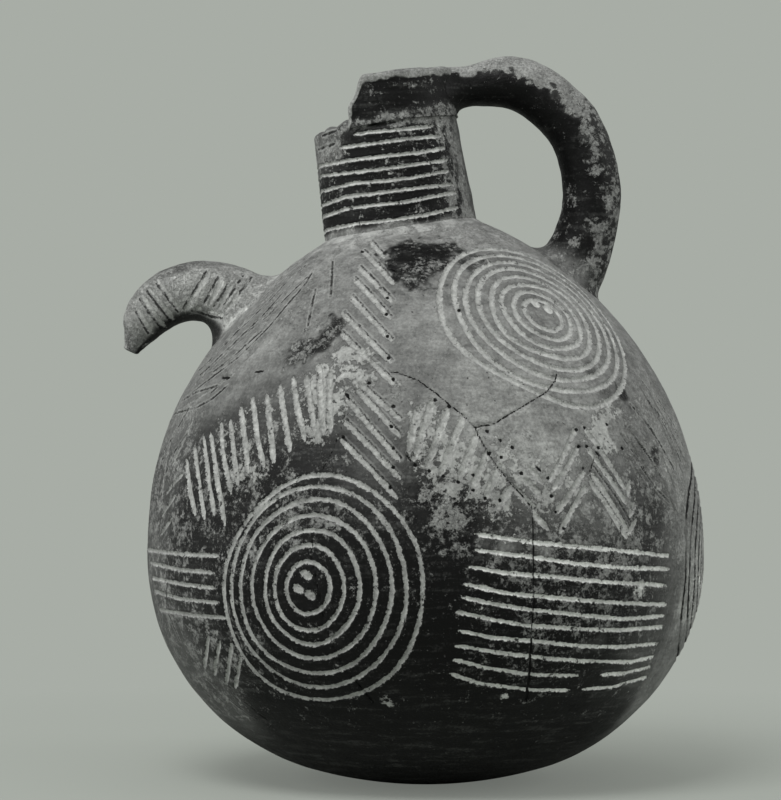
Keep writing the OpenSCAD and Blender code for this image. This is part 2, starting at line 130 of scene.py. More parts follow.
def body_frame(p):
    """Height of points above the body's surface, and the outward normals there."""
    r = np.hypot(p[:, 0], p[:, 1])
    up = p[:, 2] >= BELLY_Z
    low = (~up) & (np.arctan2(r - LOW_X, BELLY_Z - p[:, 2]) < TANGENT)
    cx = np.where(up, TOP_X, np.where(low, 0.0, LOW_X))
    cz = np.where(low, BASE_Z, BELLY_Z)
    rad = np.where(up, TOP_R, np.where(low, BASE_R, LOW_R))
    dr, dz = r - cx, p[:, 2] - cz
    d = np.maximum(np.hypot(dr, dz), 1e-9)
    s = np.maximum(r, 1e-9)
    n = np.stack([dr / d * p[:, 0] / s, dr / d * p[:, 1] / s, dz / d], 1)
    return d - rad, n


def body_height(p):
    return body_frame(p)[0]


def body_radius(z):
    up = TOP_X + np.sqrt(np.maximum(TOP_R**2 - (z - BELLY_Z) ** 2, 0))
    low = LOW_X + np.sqrt(np.maximum(LOW_R**2 - (z - BELLY_Z) ** 2, 0))
    return np.where(z >= BELLY_Z, up, low)


def on_body(az, share):
    z = share * BODY_H
    r = float(body_radius(np.array(z)))
    return np.array([r * math.sin(math.radians(az)), -r * math.cos(math.radians(az)), z])


# The neck's frame
NECK_X, LEAN, NECK_FOOT_R, NECK_TOP_R, NECK_H, PASSAGE_R = 9.5, math.radians(8.7), 30.5, 28.8, 45.0, 23.5
NECK_Z = BELLY_Z + math.sqrt(TOP_R**2 - (math.hypot(NECK_X, NECK_FOOT_R) - TOP_X) ** 2)
MOUTH_R, MOUTH_H = NECK_TOP_R + 0.8, 17.7
RIM_SLOPE, CUT_FOOT, CUT_SLOPE = math.radians(0.7), 14.2, math.radians(22.6)


def from_neck(q):
    x, y, h = q[..., 0], q[..., 1], q[..., 2]
    c, s = math.cos(LEAN), math.sin(LEAN)
    return np.stack([x * c - h * s - NECK_X, y, NECK_Z + x * s + h * c], -1)


def to_neck(p):
    x, z = p[..., 0] + NECK_X, p[..., 2] - NECK_Z
    c, s = math.cos(LEAN), math.sin(LEAN)
    return np.stack([x * c + z * s, p[..., 1], -x * s + z * c], -1)


def neck_radius(h):
    return NECK_FOOT_R + (NECK_TOP_R - NECK_FOOT_R) * h / NECK_H


def neck_height(p):
    q = to_neck(p)
    return np.hypot(q[..., 0], q[..., 1]) - neck_radius(q[..., 2])


def mouth_frame(p):
    """Height of points above the mouth's outer wall, and the outward normals there."""
    q = to_neck(p)
    r = np.maximum(np.hypot(q[:, 0], q[:, 1]), 1e-9)
    x = q[:, 0] / r
    return r - MOUTH_R, np.stack([x * math.cos(LEAN), q[:, 1] / r, x * math.sin(LEAN)], 1)


# Meshes
def vertex_normals(v, quads, tris):
    n = np.zeros_like(v)
    if len(quads):
        c = np.cross(v[quads[:, 2]] - v[quads[:, 0]], v[quads[:, 3]] - v[quads[:, 1]])
        for k in range(4):
            np.add.at(n, quads[:, k], c)
    if len(tris):
        c = np.cross(v[tris[:, 1]] - v[tris[:, 0]], v[tris[:, 2]] - v[tris[:, 0]])
        for k in range(3):
            np.add.at(n, tris[:, k], c)
    return n / np.maximum(np.linalg.norm(n, axis=1, keepdims=True), 1e-12)


NONE3 = np.zeros((0, 3), int)
# What a distance reads away from every line, how far from a line it is worked out, and usual lime
FAR, REACH, LIME = 6.0, 7.0, 0.7
DEFAULTS = {
    "tone": 0.4, "wear": 0.0, "line": FAR, "lime": LIME,
    "smear": 0.0, "crack": FAR, "dot": FAR, "score": FAR,
}


def piece(name, v, quads, tris, normals, values, uv, slot, *nodes):
    """A mesh object of some faces of a surface, which rides on the body and stands for CAD nodes."""
    used = np.unique(np.concatenate([quads.ravel(), tris.ravel()]))
    back = np.full(len(v), -1)
    back[used] = np.arange(len(used))
    q, t = back[quads], back[tris]
    me = bpy.data.meshes.new(name)
    me.vertices.add(len(used))
    me.vertices.foreach_set("co", (v[used] * MM).astype(np.float32).ravel())
    loops = np.concatenate([q.ravel(), t.ravel()])
    me.loops.add(len(loops))
    me.loops.foreach_set("vertex_index", loops.astype(np.int32))
    me.polygons.add(len(q) + len(t))
    start = np.concatenate([np.arange(len(q)) * 4, 4 * len(q) + np.arange(len(t)) * 3])
    me.polygons.foreach_set("loop_start", start.astype(np.int32))
    me.polygons.foreach_set("use_smooth", np.ones(len(start), bool))
    for key, usual in DEFAULTS.items():
        data = values.get(key, np.full(len(v), usual))
        me.attributes.new(key, "FLOAT", "POINT").data.foreach_set("value", data[used].astype(np.float32))
    part = uv[used]
    low, high = part.min(0), part.max(0)
    part = (part - low) / np.maximum(high - low, 1e-9)
    me.uv_layers.new(name="OFBake").data.foreach_set("uv", part[loops].astype(np.float32).ravel())
    me.update(calc_edges=True)
    me.validate()
    me.normals_split_custom_set_from_vertices(normals[used].astype(np.float32))
    me.materials.append(SLIP[slot])
    ob = bpy.data.objects.new(name, me)
    bpy.context.scene.collection.objects.link(ob)
    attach(ob, "root")
    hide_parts(*nodes)


def grid_faces(rows, cols):
    """Quads of a grid of vertices. They face along the way in a row crossed with that between rows."""
    a = np.arange(rows - 1)[:, None] * cols + np.arange(cols - 1)[None, :]
    return np.stack([a, a + 1, a + cols + 1, a + cols], -1).reshape(-1, 4)


def grid_uv(rows, cols):
    u, w = np.meshgrid(np.arange(cols) / (cols - 1), np.arange(rows) / (rows - 1))
    return np.stack([u.ravel(), w.ravel()], 1)


# Lines as distances
class Lines:
    """Distance from a surface's vertices to the nearest incised line, with that line's owner and lime."""

    def __init__(self, v):
        self.v = v
        self.sd = np.full(len(v), FAR)
        self.owner = np.full(len(v), -1)
        self.lime = np.full(len(v), LIME)

    def near(self, path):
        low, high = path.min(0) - REACH, path.max(0) + REACH
        return np.flatnonzero(((self.v > low) & (self.v < high)).all(1))

    def distance(self, path, taper):
        index = self.near(path)
        p = self.v[index]
        best, along = np.full(len(p), 1e9), np.zeros(len(p))
        span = np.linalg.norm(np.diff(path, axis=0), axis=1)
        total, run = span.sum(), 0.0
        for a, b, s in zip(path[:-1], path[1:], span):
            d = (b - a) / max(s, 1e-9)
            t = np.clip((p - a) @ d, 0, s)
            gap = np.linalg.norm(p - a - t[:, None] * d, axis=1)
            closer = gap < best
            best = np.where(closer, gap, best)
            along = np.where(closer, run + t, along)
            run += s
        end = np.minimum(along, total - along) if taper else np.full(len(p), 1e9)
        return index, best, end

    def add(self, path, width, owner=0, lime=0.0, taper=True, seed=0):
        index, gap, end = self.distance(path, taper)
        if not len(index):
            return
        p = self.v[index]
        half = width / 2 * (1 + 0.16 * noise(p, 6.0, seed) + 0.12 * noise(p, 2.0, seed + 1))
        half = half * (0.55 + 0.45 * smooth(end, 0.0, 2.2))
        sd = gap - half
        closer = sd < self.sd[index]
        chosen = index[closer]
        self.sd[chosen] = sd[closer]
        self.owner[chosen] = owner
        self.lime[chosen] = lime


def field(v, places, spread):
    """Values at each vertex from given spots: point, values, size."""
    top, bottom = 0, np.full(len(v), 1e-12)
    for point, values, size in places:
        w = np.exp(-0.5 * ((v - point) ** 2).sum(1) / (spread * size) ** 2)
        top = top + w[:, None] * values
        bottom += w
    return top / bottom[:, None]


def blobs(v, found, places, radius):
    """The same values with ragged patches of other values laid over them."""
    ragged = 1 + 0.4 * noise(v, 5.0, 21) + 0.35 * noise(v, 1.9, 22) + 0.2 * noise(v, 0.9, 23)
    for point, values, size in places:
        d = np.sqrt(((v - point) ** 2).sum(1)) * ragged / (radius * size)
        m = np.exp(-(d**4))[:, None]
        found = found * (1 - m) + m * values
    return found


# Materials
class Nodes:
    """Short calls for a shader's nodes."""

    def __init__(self, name):
        self.mat = bpy.data.materials.new(name)
        self.mat.use_nodes = True
        self.tree = self.mat.node_tree
        self.tree.nodes.clear()
        self.out = self.tree.nodes.new("ShaderNodeOutputMaterial")
        self.bsdf = self.tree.nodes.new("ShaderNodeBsdfPrincipled")
        self.tree.links.new(self.bsdf.outputs[0], self.out.inputs[0])
        self.coord = self.tree.nodes.new("ShaderNodeTexCoord").outputs["Object"]

    def put(self, socket, value):
        if isinstance(value, (int, float)):
            socket.default_value = value
        else:
            self.tree.links.new(value, socket)

    def math(self, kind, a, b=0.0, clamp=False):
        n = self.tree.nodes.new("ShaderNodeMath")
        n.operation, n.use_clamp = kind, clamp
        self.put(n.inputs[0], a)
        self.put(n.inputs[1], b)
        return n.outputs[0]

    def times(self, a, b):
        return self.math("MULTIPLY", a, b)

    def ramp(self, value, low, high, out_low=0.0, out_high=1.0):
        n = self.tree.nodes.new("ShaderNodeMapRange")
        n.interpolation_type = "SMOOTHSTEP"
        for k, x in enumerate((value, low, high, out_low, out_high)):
            self.put(n.inputs[k], x)
        return n.outputs[0]

    def attribute(self, name):
        n = self.tree.nodes.new("ShaderNodeAttribute")
        n.attribute_name = name
        return n.outputs["Fac"]

    def noise(self, size, detail=2.0, stretch=(1, 1, 1), shift=0.0, roughness=0.55):
        """Noise about 0.5 whose features are about a size of millimetres."""
        m = self.tree.nodes.new("ShaderNodeMapping")
        m.inputs["Scale"].default_value = [1.0 / (size * MM * s) for s in stretch]
        m.inputs["Location"].default_value = (shift, shift * 1.7, shift * 2.3)
        self.tree.links.new(self.coord, m.inputs["Vector"])
        n = self.tree.nodes.new("ShaderNodeTexNoise")
        n.inputs["Scale"].default_value = 1.0
        n.inputs["Detail"].default_value = detail
        n.inputs["Roughness"].default_value = roughness
        self.tree.links.new(m.outputs[0], n.inputs["Vector"])
        return n.outputs["Fac"]

    def cells(self, size, shift=0.0):
        m = self.tree.nodes.new("ShaderNodeMapping")
        m.inputs["Scale"].default_value = [1.0 / (size * MM)] * 3
        m.inputs["Location"].default_value = (shift, shift * 1.7, shift * 2.3)
        self.tree.links.new(self.coord, m.inputs["Vector"])
        n = self.tree.nodes.new("ShaderNodeTexVoronoi")
        n.inputs["Scale"].default_value = 1.0
        self.tree.links.new(m.outputs[0], n.inputs["Vector"])
        return n.outputs["Distance"]

    def mix(self, factor, a, b):
        n = self.tree.nodes.new("ShaderNodeMix")
        self.put(n.inputs[0], factor)
        self.put(n.inputs[2], a)
        self.put(n.inputs[3], b)
        return n.outputs[0]

    def swing(self, value, amount):
        """A noise's swing about nought."""
        return self.times(self.math("SUBTRACT", value, 0.5), amount)

    def sum(self, *values):
        total = values[0]
        for v in values[1:]:
            total = self.math("ADD", total, v)
        return total

    def finish(self, grey, tint, roughness, height, depth):
        """Colour from an sRGB grey, with a bump."""
        grey = self.math("POWER", self.math("MAXIMUM", grey, 0.02), 2.2)
        rgb = self.tree.nodes.new("ShaderNodeCombineColor")
        for k in range(3):
            self.put(rgb.inputs[k], self.math("MULTIPLY", grey, tint[k], clamp=True))
        self.tree.links.new(rgb.outputs[0], self.bsdf.inputs["Base Color"])
        self.put(self.bsdf.inputs["Roughness"], roughness)
        bump = self.tree.nodes.new("ShaderNodeBump")
        bump.inputs["Strength"].default_value = 1.0
        bump.inputs["Distance"].default_value = depth * MM
        self.tree.links.new(height, bump.inputs["Height"])
        self.tree.links.new(bump.outputs[0], self.bsdf.inputs["Normal"])
        return self.mat


TINT = (0.985, 1.0, 0.965)


def ware(name):
    """Burnished slip with lime in its lines, cracks, dots, smears and wear, all from the mesh's values,
    whose tone also holds painted light and shade.
    """
    n = Nodes(name)
    tone, worn = n.attribute("tone"), n.attribute("wear")
    middle = n.noise(5, 4, shift=3.1, roughness=0.65)
    fine = n.noise(1.1, 3, shift=7.7, roughness=0.7)
    streaks = n.noise(2.2, 3, stretch=(7, 7, 0.8), shift=1.3)
    # dark slip, uneven at several scales and streaked by burnishing
    broad = n.swing(n.noise(22, 3), 0.6)
    uneven = n.sum(1.0, broad, n.swing(middle, 0.8), n.swing(fine, 0.7), n.swing(streaks, 0.4))
    dull = n.ramp(n.sum(streaks, n.swing(fine, 0.7), n.swing(middle, 0.5)), 0.5, 0.75, 0.0, 0.13)
    grey = n.sum(n.times(tone, uneven), n.times(dull, n.ramp(tone, 0.02, 0.4, 1.0, 0.0)))
    # pale clay and dust where the slip is worn, in ragged grains
    grain = n.mix(0.5, n.noise(1.5, 5, shift=5.2, roughness=0.8), n.noise(6, 5, shift=2.2, roughness=0.7))
    patches = n.ramp(n.sum(grain, n.times(worn, 0.4)), 0.64, 0.71)
    dust = n.swing(n.noise(8, 3, shift=9.4), 0.4)
    pale = n.sum(0.52, dust, n.swing(n.noise(0.9, 3, shift=10.7, roughness=0.7), 0.7))
    grey = n.mix(n.times(patches, 0.85), grey, pale)
    # white specks and dark pits
    spots = n.noise(1.3, 2, shift=14.3)
    specks, pits = n.ramp(spots, 0.7, 0.75), n.ramp(spots, 0.25, 0.31, 1.0, 0.0)
    grey = n.mix(n.times(specks, 0.55), grey, 0.6)
    grey = n.mix(n.times(pits, 0.6), grey, n.times(grey, 0.3))
    # fine scored lines: a dark core in dashes between pale ridges; the same dark core paints the shade
    # along the upper edges of the centre band's strokes
    score = n.sum(n.attribute("score"), n.swing(n.noise(1.4, 2, shift=16.2), 1.2))
    ridge = n.times(n.ramp(score, 0.25, 0.5), n.ramp(score, 0.8, 1.3, 1.0, 0.0))
    core = n.times(n.ramp(score, 0.1, 0.4, 1.0, 0.0), n.ramp(n.noise(3.5, 3, shift=18.5), 0.42, 0.52))
    ridge = n.times(ridge, n.ramp(tone, 0.1, 0.35))
    grey = n.mix(n.times(ridge, 0.5), grey, 0.6)
    grey = n.mix(n.times(core, 0.7), grey, 0.1)
    # lime in the lines, with ragged edges and losses, and smeared beside them
    edge = n.sum(n.attribute("line"), n.swing(n.noise(1.6, 4, shift=6.1, roughness=0.75), 2.5))
    in_line = n.ramp(edge, -0.1, 0.14, 1.0, 0.0)
    lost = n.ramp(n.noise(3.2, 4, shift=12.1, roughness=0.75), 0.6, 0.66)
    chalk = n.swing(n.noise(1.3, 4, shift=3.9), 0.4)
    lime = n.sum(n.attribute("lime"), chalk, n.swing(n.noise(6, 2, shift=1.9), 0.25))
    filled = n.times(in_line, n.math("SUBTRACT", 1.0, n.times(lost, 0.7)))
    ragged = n.swing(n.noise(2.6, 5, shift=15.2, roughness=0.75), 2.6)
    smear = n.ramp(n.sum(n.attribute("smear"), ragged), 0.44, 0.6)
    grey = n.mix(n.times(smear, 0.85), grey, lime)
    grey = n.mix(in_line, grey, n.mix(filled, n.times(tone, 0.6), lime))
    # cracks and punch dots
    crack = n.sum(n.attribute("crack"), n.swing(n.noise(1.1, 2, shift=2.8), 0.7))
    dot = n.sum(n.attribute("dot"), n.swing(n.noise(0.8, 2, shift=11.3), 0.6))
    hole = n.math("MAXIMUM", n.ramp(crack, -0.05, 0.2, 1.0, 0.0), n.ramp(dot, -0.05, 0.2, 1.0, 0.0))
    grey = n.mix(n.times(hole, 0.9), grey, 0.07)
    chalky = n.math("MAXIMUM", n.math("MAXIMUM", filled, smear), n.times(patches, 0.7))
    burnish = n.sum(0.58, n.swing(middle, 0.5), n.swing(fine, 0.3))
    height = n.sum(
        n.times(fine, 0.5),
        n.times(middle, 0.7),
        n.times(streaks, 0.3),
        n.times(n.noise(0.6, 3, shift=10.0), n.mix(chalky, 0.2, 0.9)),
        n.times(patches, 0.35),
        n.times(smear, 0.6),
        n.times(pits, -0.8),
        n.times(core, -0.8),
        n.times(ridge, 0.3),
        n.ramp(edge, -0.6, 0.3, -0.9, 0.0),
        n.times(hole, -2.0),
    )
    n.bsdf.inputs["Specular IOR Level"].default_value = 0.18
    return n.finish(grey, TINT, n.mix(chalky, burnish, 0.92), height, 0.35)


def clay(name, tone):
    """Fired clay with temper grains, for the breaks and the inside."""
    n = Nodes(name)
    grains = n.ramp(n.cells(1.6), 0.12, 0.3, 1.0, 0.0)
    base = n.sum(tone, n.swing(n.noise(14, 3), 0.16), n.swing(n.noise(2, 4, shift=3.0), 0.14))
    grey = n.mix(n.times(grains, 0.4), base, n.sum(0.62, n.swing(n.noise(5, 1, shift=8.0), 0.4)))
    height = n.sum(n.times(n.noise(1.2, 4, shift=1.0), 0.6), n.times(grains, 0.3))
    n.bsdf.inputs["Specular IOR Level"].default_value = 0.2
    return n.finish(grey, (1.0, 0.985, 0.95), n.sum(0.85, n.swing(n.noise(4, 2), 0.15)), height, 0.4)


SLIP = {k: ware(k) for k in ("dark_burnished_slip", "grey_burnished_slip", "pale_worn_slip", "lime_fill")}
CLAY = clay("bare_clay", 0.42)

# What the photograph shows, in its pixels. A bar or a new line parts two polylines.
# node of the strokes, its mirrored node on the back, width, brightness of the lime, polylines
STROKES = [
    ("lime_left_band", "lime_back_bands", 2.5, 0.66, """
        186,460 190,492 195,515|194,448 199,485 204,518|203,438 208,480 214,514|210,434 217,480 224,524
        221,424 222,450 231,493|230,421 236,472 238,484|241,408 245,440 248,472|253,399 258,440 264,466
        267,396 272,440 274,462|280,386 284,415 290,450|293,378 297,406 305,440|306,376 310,400 315,430
        319,366 321,400 324,434|330,372 330,400 331,432"""),
    ("lime_centre_band", "lime_back_bands", 2.1, 0.64, """
        371,243 384,258|363,252 379,268 393,284|359,268 375,284 392,302|354,279 372,298 390,318
        351,297 370,318 391,340|342,313 365,336 391,362|341,333 358,350 378,368 395,386
        359,383 380,402 400,420|358,391 380,414 400,437|345,397 370,427 400,461|344,421 370,447 400,479
        341,440 368,467 397,498"""),
    ("lime_right_band", None, 2.9, 0.66, """
        418,408 409,450|432,402 414,460|448,408 427,468|464,416 441,474|477,434 459,481|488,452 472,490
        500,466 485,499|512,486 499,507"""),
    ("lime_zigzag", None, 2.3, 0.68, """
        529,467 542,483|525,479 541,497|512,485 536,511|533,513 548,529|576,428 564,456 550,481
        579,446 566,470 552,491|584,472 570,494 556,513|586,486 572,510 560,533|592,474 610,500 627,531
        590,481 608,508 626,537|587,447 608,476 627,504|585,427 600,449 625,489|630,481 628,495
        635,500 630,516|636,520 628,534"""),
    ("lime_zigzag", None, 1.2, 0.5, """
        620,432 634,450 650,473|626,425 645,452 664,483 678,517|628,456 640,480 654,509
        640,388 662,424 683,474|650,394 668,424 686,462|634,404 656,440 676,490"""),
    ("lime_right_panel", "lime_back_panels", 1.6, 0.86, """
        475,534 530,542 570,546 615,550 670,556|475,550 530,557 580,564 625,568 670,569
        470,567 505,573 555,577 605,582 642,584 667,586|465,584 505,593 555,598 605,602 667,605
        462,597 492,604 530,610 580,615 625,619 664,616|457,612 492,620 530,626 580,629 620,630 664,627
        460,631 492,638 530,641 580,646 617,647 659,644|456,646 492,652 530,657 580,661 630,662 654,657
        454,660 485,668 530,675 578,676|601,675 625,673 651,667|450,674 480,684 530,690 570,691
        583,690 612,687 647,677"""),
    ("lime_left_panel", "lime_back_panels", 1.6, 0.66, """
        147,550 180,554 218,556|150,563 180,570 214,573|152,578 180,584 215,588|154,591 180,599 219,603
        160,610 190,615 226,618"""),
    ("lime_low_strokes", None, 1.9, 0.66, """
        209,636 204,668|220,641 214,675|232,644 226,684|241,657 235,688"""),
    ("lime_chevrons", None, 1.8, 0.6, """
        183,474 175,482 166,494|176,495 168,506 162,516|172,518 160,535|192,422 182,444 172,466"""),
    ("lime_horn_root_strokes", None, 1.0, 0.56, """
        319,252 290,274 262,304 216,352|309,262 275,292 240,328 206,366|296,281 262,318 230,350 198,378
        283,298 250,334 220,362 192,388|268,322 240,350 214,374 184,398|258,348 232,376 205,394 178,411"""),
]
# fine scored lines with little or no lime: on the neck, and then on the body
NECK_SCORES = """
    360,134 380,125 400,115|357,131 378,122|322,136 336,131|318,150 334,144|372,128 398,121"""
SCORES = """
    200,376 229,349 248,333 268,317 286,299 308,277
    197,372 221,351 237,333 256,315 274,297 288,281 306,266
    205,358 221,341 233,325 248,309 268,289 288,270 298,258
    185,398 209,380 225,368 240,357 268,329 288,305 304,287|181,402 197,392 217,386
    175,414 195,408 213,398 227,386|157,457 167,430 179,408|161,463 171,440 183,420 189,408
    165,475 175,451 189,430|214,372 240,352 262,332|262,300 282,278 300,262|316,289 312,305 308,325
    333,262 332,280 331,297|236,342 262,318 284,292|225,355 236,342|222,383 212,392
    292,300 306,284 314,270|625,426 645,450 663,480|620,434 636,456 649,473|630,404 654,432 675,469
    643,393 667,428 682,463|654,391 675,426 688,454|634,456 656,489 669,502|638,411 660,443 680,480
    648,400 664,420 680,446|640,378 664,410 684,446|655,372 674,400 690,434|590,476 606,500 622,524
    594,466 618,500 632,524|180,640 172,622 166,604|170,640 176,652 184,664|228,700 250,716 276,730
    244,702 270,722 300,736"""
# circles as read in the photograph: centre, half width and half height of each ring, from the inside out
FRONT_RINGS = [
    (308, 588, 22, 26), (309, 588, 35, 43), (312, 587, 48, 57), (314, 587, 62, 72),
    (316, 587, 76, 87), (319, 587, 88, 100), (324, 589, 100, 112),
]
FRONT_DABS = "306,574 298,588 310,594"
SHOULDER_DABS = "534,302 536,304|547,308 549,310"
# circles as radii of their rings, and their centres as azimuth and share of the height
SHOULDER_RINGS = (8.0, 12.3, 16.8, 21.3, 26.0, 30.6, 35.2, 40.0)
SHOULDER_AT = (35.5, 0.803)
SIDE_RINGS = (10.3, 16.1, 22.0, 27.9, 33.9, 39.7)
SIDE_AT, SIDE_DAB_R = (85, 0.384), 3.6
# strokes under the horn, as azimuth and share of the height, mirrored on the back
HORN_SIDE = [
    ((-74, 0.62), (-70, 0.495)), ((-77.5, 0.605), (-73, 0.479)), ((-81, 0.59), (-76, 0.4625)),
    ((-84.5, 0.575), (-79, 0.446)), ((-88, 0.56), (-82, 0.43)),
]
CRACKS = """
    384,371 397,372 418,380 436,393 450,405 462,414 475,427
    475,427 494,424 508,415 530,402 548,391 555,381
    475,427 480,438 489,454 497,466 508,480 520,492 533,508|355,681 373,703|595,458 590,472
    556,381 557,374"""
UPRIGHT_CRACK = "533,508 534,540 534,600 532,640|532,640 531,650 530,675 526,700"
HAIRLINE = """
    346,397 344,421 333,450 318,478 315,501 313,531 311,555 319,593 324,623 331,643 343,667 355,681
    625,426 640,444 655,462 664,483 676,512|620,432 634,450 649,470"""
CHIPS = """
    222,378 230,378|255,372 263,371|392,270 396,272|536,466 542,472|596,452 600,456|346,394 350,400
    406,455 411,461"""
DOTS = """
    390,266 387,297 386,313 387,335 388,357 393,379 393,406 391,426 369,383 347,395 343,437 393,448
    393,467 390,487 415,465 429,471 443,476 458,482 473,490 485,498 500,500 435,400 449,406 487,431
    500,440 512,447 501,457 548,478 551,496 577,429 579,446 583,468 556,512 564,528 599,447 622,448
    585,427 587,446 607,424 521,473 362,252 459,309 473,475 489,453"""
# the burnished slip's grey, which also holds painted light (a painted highlight on the shoulder and along
# both flanks, painted shade towards the bottom), and how worn it is: pixel, grey before the gamma, share
# worn, size
TONES_AND_PAINTED_LIGHT = """
    345,255,.5,.3,1 300,290,.46,.35,1 268,320,.45,.3,1 240,350,.42,.3,1 330,300,.45,.25,.8
    405,300,.43,.1,1 420,330,.43,.06,1.2 430,370,.49,.08,1 470,350,.46,.1,1.2 520,330,.46,.2,1.2
    560,360,.5,.15,1.2 500,280,.42,.3,1 560,270,.48,.3,1.2 590,310,.48,.25,1 600,350,.42,.3,1
    480,238,.5,.4,.8 350,330,.42,.3,1 370,400,.4,.25,.9 380,440,.36,.25,.9 350,470,.28,.25,.9
    410,500,.2,.3,.9 440,510,.1,.4,.9 430,545,.05,.3,.9 440,580,.03,.16,1.3 440,640,.03,.12,1.3
    400,710,.065,.18,1.3 300,590,.03,.2,1.5 350,540,.06,.36,.9 260,530,.06,.4,.9 300,505,.11,.42,.8
    245,600,.04,.28,.9 260,650,.05,.28,.9 310,690,.04,.22,1.2 375,590,.03,.2,.9 240,500,.07,.38,.8
    285,478,.07,.36,.7 330,458,.1,.34,.7 215,500,.08,.36,.8 215,455,.18,.36,.8 255,425,.22,.36,.8
    300,400,.28,.34,.8 190,400,.46,.42,.8 172,450,.3,.46,.8 160,500,.27,.44,.8 153,560,.3,.42,.8
    200,535,.07,.38,.8 190,590,.14,.38,.9 218,570,.06,.32,.7 175,630,.28,.42,.8 200,675,.3,.4,.9
    222,650,.16,.42,.7 240,380,.42,.12,.8 280,375,.38,.15,.7 470,440,.48,.3,.8 500,400,.56,.1,1
    520,440,.54,.15,1 560,425,.52,.15,.8 600,440,.42,.3,.8 590,500,.45,.46,.8 612,520,.28,.48,.7
    645,500,.14,.42,.7 640,450,.42,.46,.8 500,518,.26,.4,.7 540,520,.4,.42,.7 500,565,.09,.42,.9
    560,565,.07,.46,.9 625,575,.08,.47,.8 520,605,.04,.39,1 590,605,.05,.4,1 640,605,.1,.42,.8
    500,660,.035,.36,1.1 570,650,.05,.4,1 640,650,.3,.28,.8 600,690,.16,.2,.8 665,590,.34,.28,.8
    682,530,.45,.44,.7 693,590,.8,.5,.7 668,660,.44,.3,.7 660,430,.55,.5,.8 682,480,.55,.5,.8
    640,360,.46,.36,.8 570,710,.065,.18,1 480,715,.065,.18,1.2 660,700,.44,.25,.8"""
# patches laid over that, in the same way
PATCHES = """
    400,250,.04,.34,.55 410,250,.04,.3,.6 421,250,.04,.3,.65 433,249,.04,.3,.6 444,249,.05,.34,.55
    452,247,.08,.4,.35 402,260,.04,.36,.5 413,261,.04,.3,.6 425,261,.04,.34,.6 437,259,.05,.36,.5
    405,270,.05,.38,.45 416,272,.06,.38,.5 428,271,.06,.4,.4 440,266,.1,.42,.35 330,332,.06,.4,.4
    337,323,.08,.42,.35 325,340,.06,.42,.35 302,352,.09,.5,.4 312,349,.08,.46,.4 320,346,.07,.44,.4
    292,360,.16,.44,.3 297,347,.14,.5,.3 447,522,.05,.56,.8 425,500,.05,.42,.5 462,548,.04,.36,.5
    622,394,.1,.4,.4 470,264,.2,.4,.4 480,258,.2,.4,.3 330,520,.12,.46,.6 292,520,.14,.5,.6
    250,548,.1,.48,.5 505,548,.42,.4,.5 545,551,.36,.42,.4 484,542,.3,.44,.4 606,392,.3,.4,.4
    362,700,.04,.24,.6 590,370,.34,.42,.35 316,425,.18,.3,.3 300,440,.18,.3,.3 272,452,.1,.3,.3
    585,695,.02,0,.25 574,707,.02,0,.25 455,500,.05,.5,.4 470,515,.06,.5,.4 410,520,.05,.46,.4
    620,560,.05,.5,.4 600,640,.2,.2,.5 655,455,.1,.4,.4 398,277,.07,.44,.4 410,281,.08,.46,.4
    422,279,.09,.46,.35 393,268,.06,.42,.35 420,600,.03,.3,.4 428,640,.03,.26,.4 256,640,.16,.46,.35
    335,640,.12,.42,.35 295,545,.12,.44,.3 370,520,.16,.4,.4"""
# lime spread outside the lines: pixel, strength, size
SMEARS = """
    346,355,.95,.5 362,357,.85,.4 346,374,.9,.4 374,364,.6,.3 252,408,.55,.4 268,408,.55,.4 238,428,.5,.4
    223,443,.6,.4 248,447,.6,.4 281,393,.55,.35 323,372,.8,.4 308,425,.55,.4 232,462,.5,.4 322,388,.9,.8
    335,405,.8,.7 318,432,.8,.5 300,428,.5,.4 225,440,.6,.4 236,476,.8,.5 254,472,.7,.4 266,470,.5,.4
    345,362,.6,.6 360,380,.8,.6 425,420,.8,.7 440,440,.7,.6 455,455,.8,.7 420,450,.7,.6 470,470,.8,.7
    450,487,.8,.6 478,488,.8,.6 495,480,.8,.6 500,500,.8,.6 505,455,.7,.6 522,478,.7,.6 545,500,.7,.6
    560,470,.6,.6 570,490,.6,.6 612,430,1,.9 600,438,.8,.6 600,470,.4,.6 230,560,.5,.5 236,545,.5,.4
    300,505,.5,.4 255,545,.4,.5 640,590,.8,.3 505,540,.4,.4 480,605,.5,.3 540,466,.6,.5 300,390,.5,.4
    270,405,.4,.4 530,410,.3,.4 396,388,.5,.4 520,500,.5,.5 190,420,.3,.5 655,548,.3,.4 310,592,.4,.3
    408,440,.5,.4 432,470,.7,.5 575,455,.6,.4 620,420,.8,.5 503,697,.75,.16 506,699,.6,.12 213,640,.4,.4
    392,703,.6,.25 384,700,.6,.2 248,575,.4,.3 350,590,.3,.3"""


def spots(text):
    out = []
    for item in text.split():
        x, y, *values, size = (float(v) for v in item.split(","))
        out.append((cast(np.array([[x, y]]), body_height)[0], np.array(values), size))
    return out


def split(text):
    return [pixels(part) for line in text.splitlines() for part in line.split("|") if part.strip()]


def mirrored(path):
    return path * np.array([1, -1, 1])


def folded(v):
    """The same points, with those of the back mirrored to the front."""
    return np.where(v[:, 1:2] > 0, mirrored(v), v)


def turned(r, z, az):
    """The points of a section turned about the jug's axis, row by row."""
    v = [r[:, None] * np.sin(az), -r[:, None] * np.cos(az), np.repeat(z[:, None], len(az), 1)]
    return np.stack(v, -1).reshape(-1, 3)


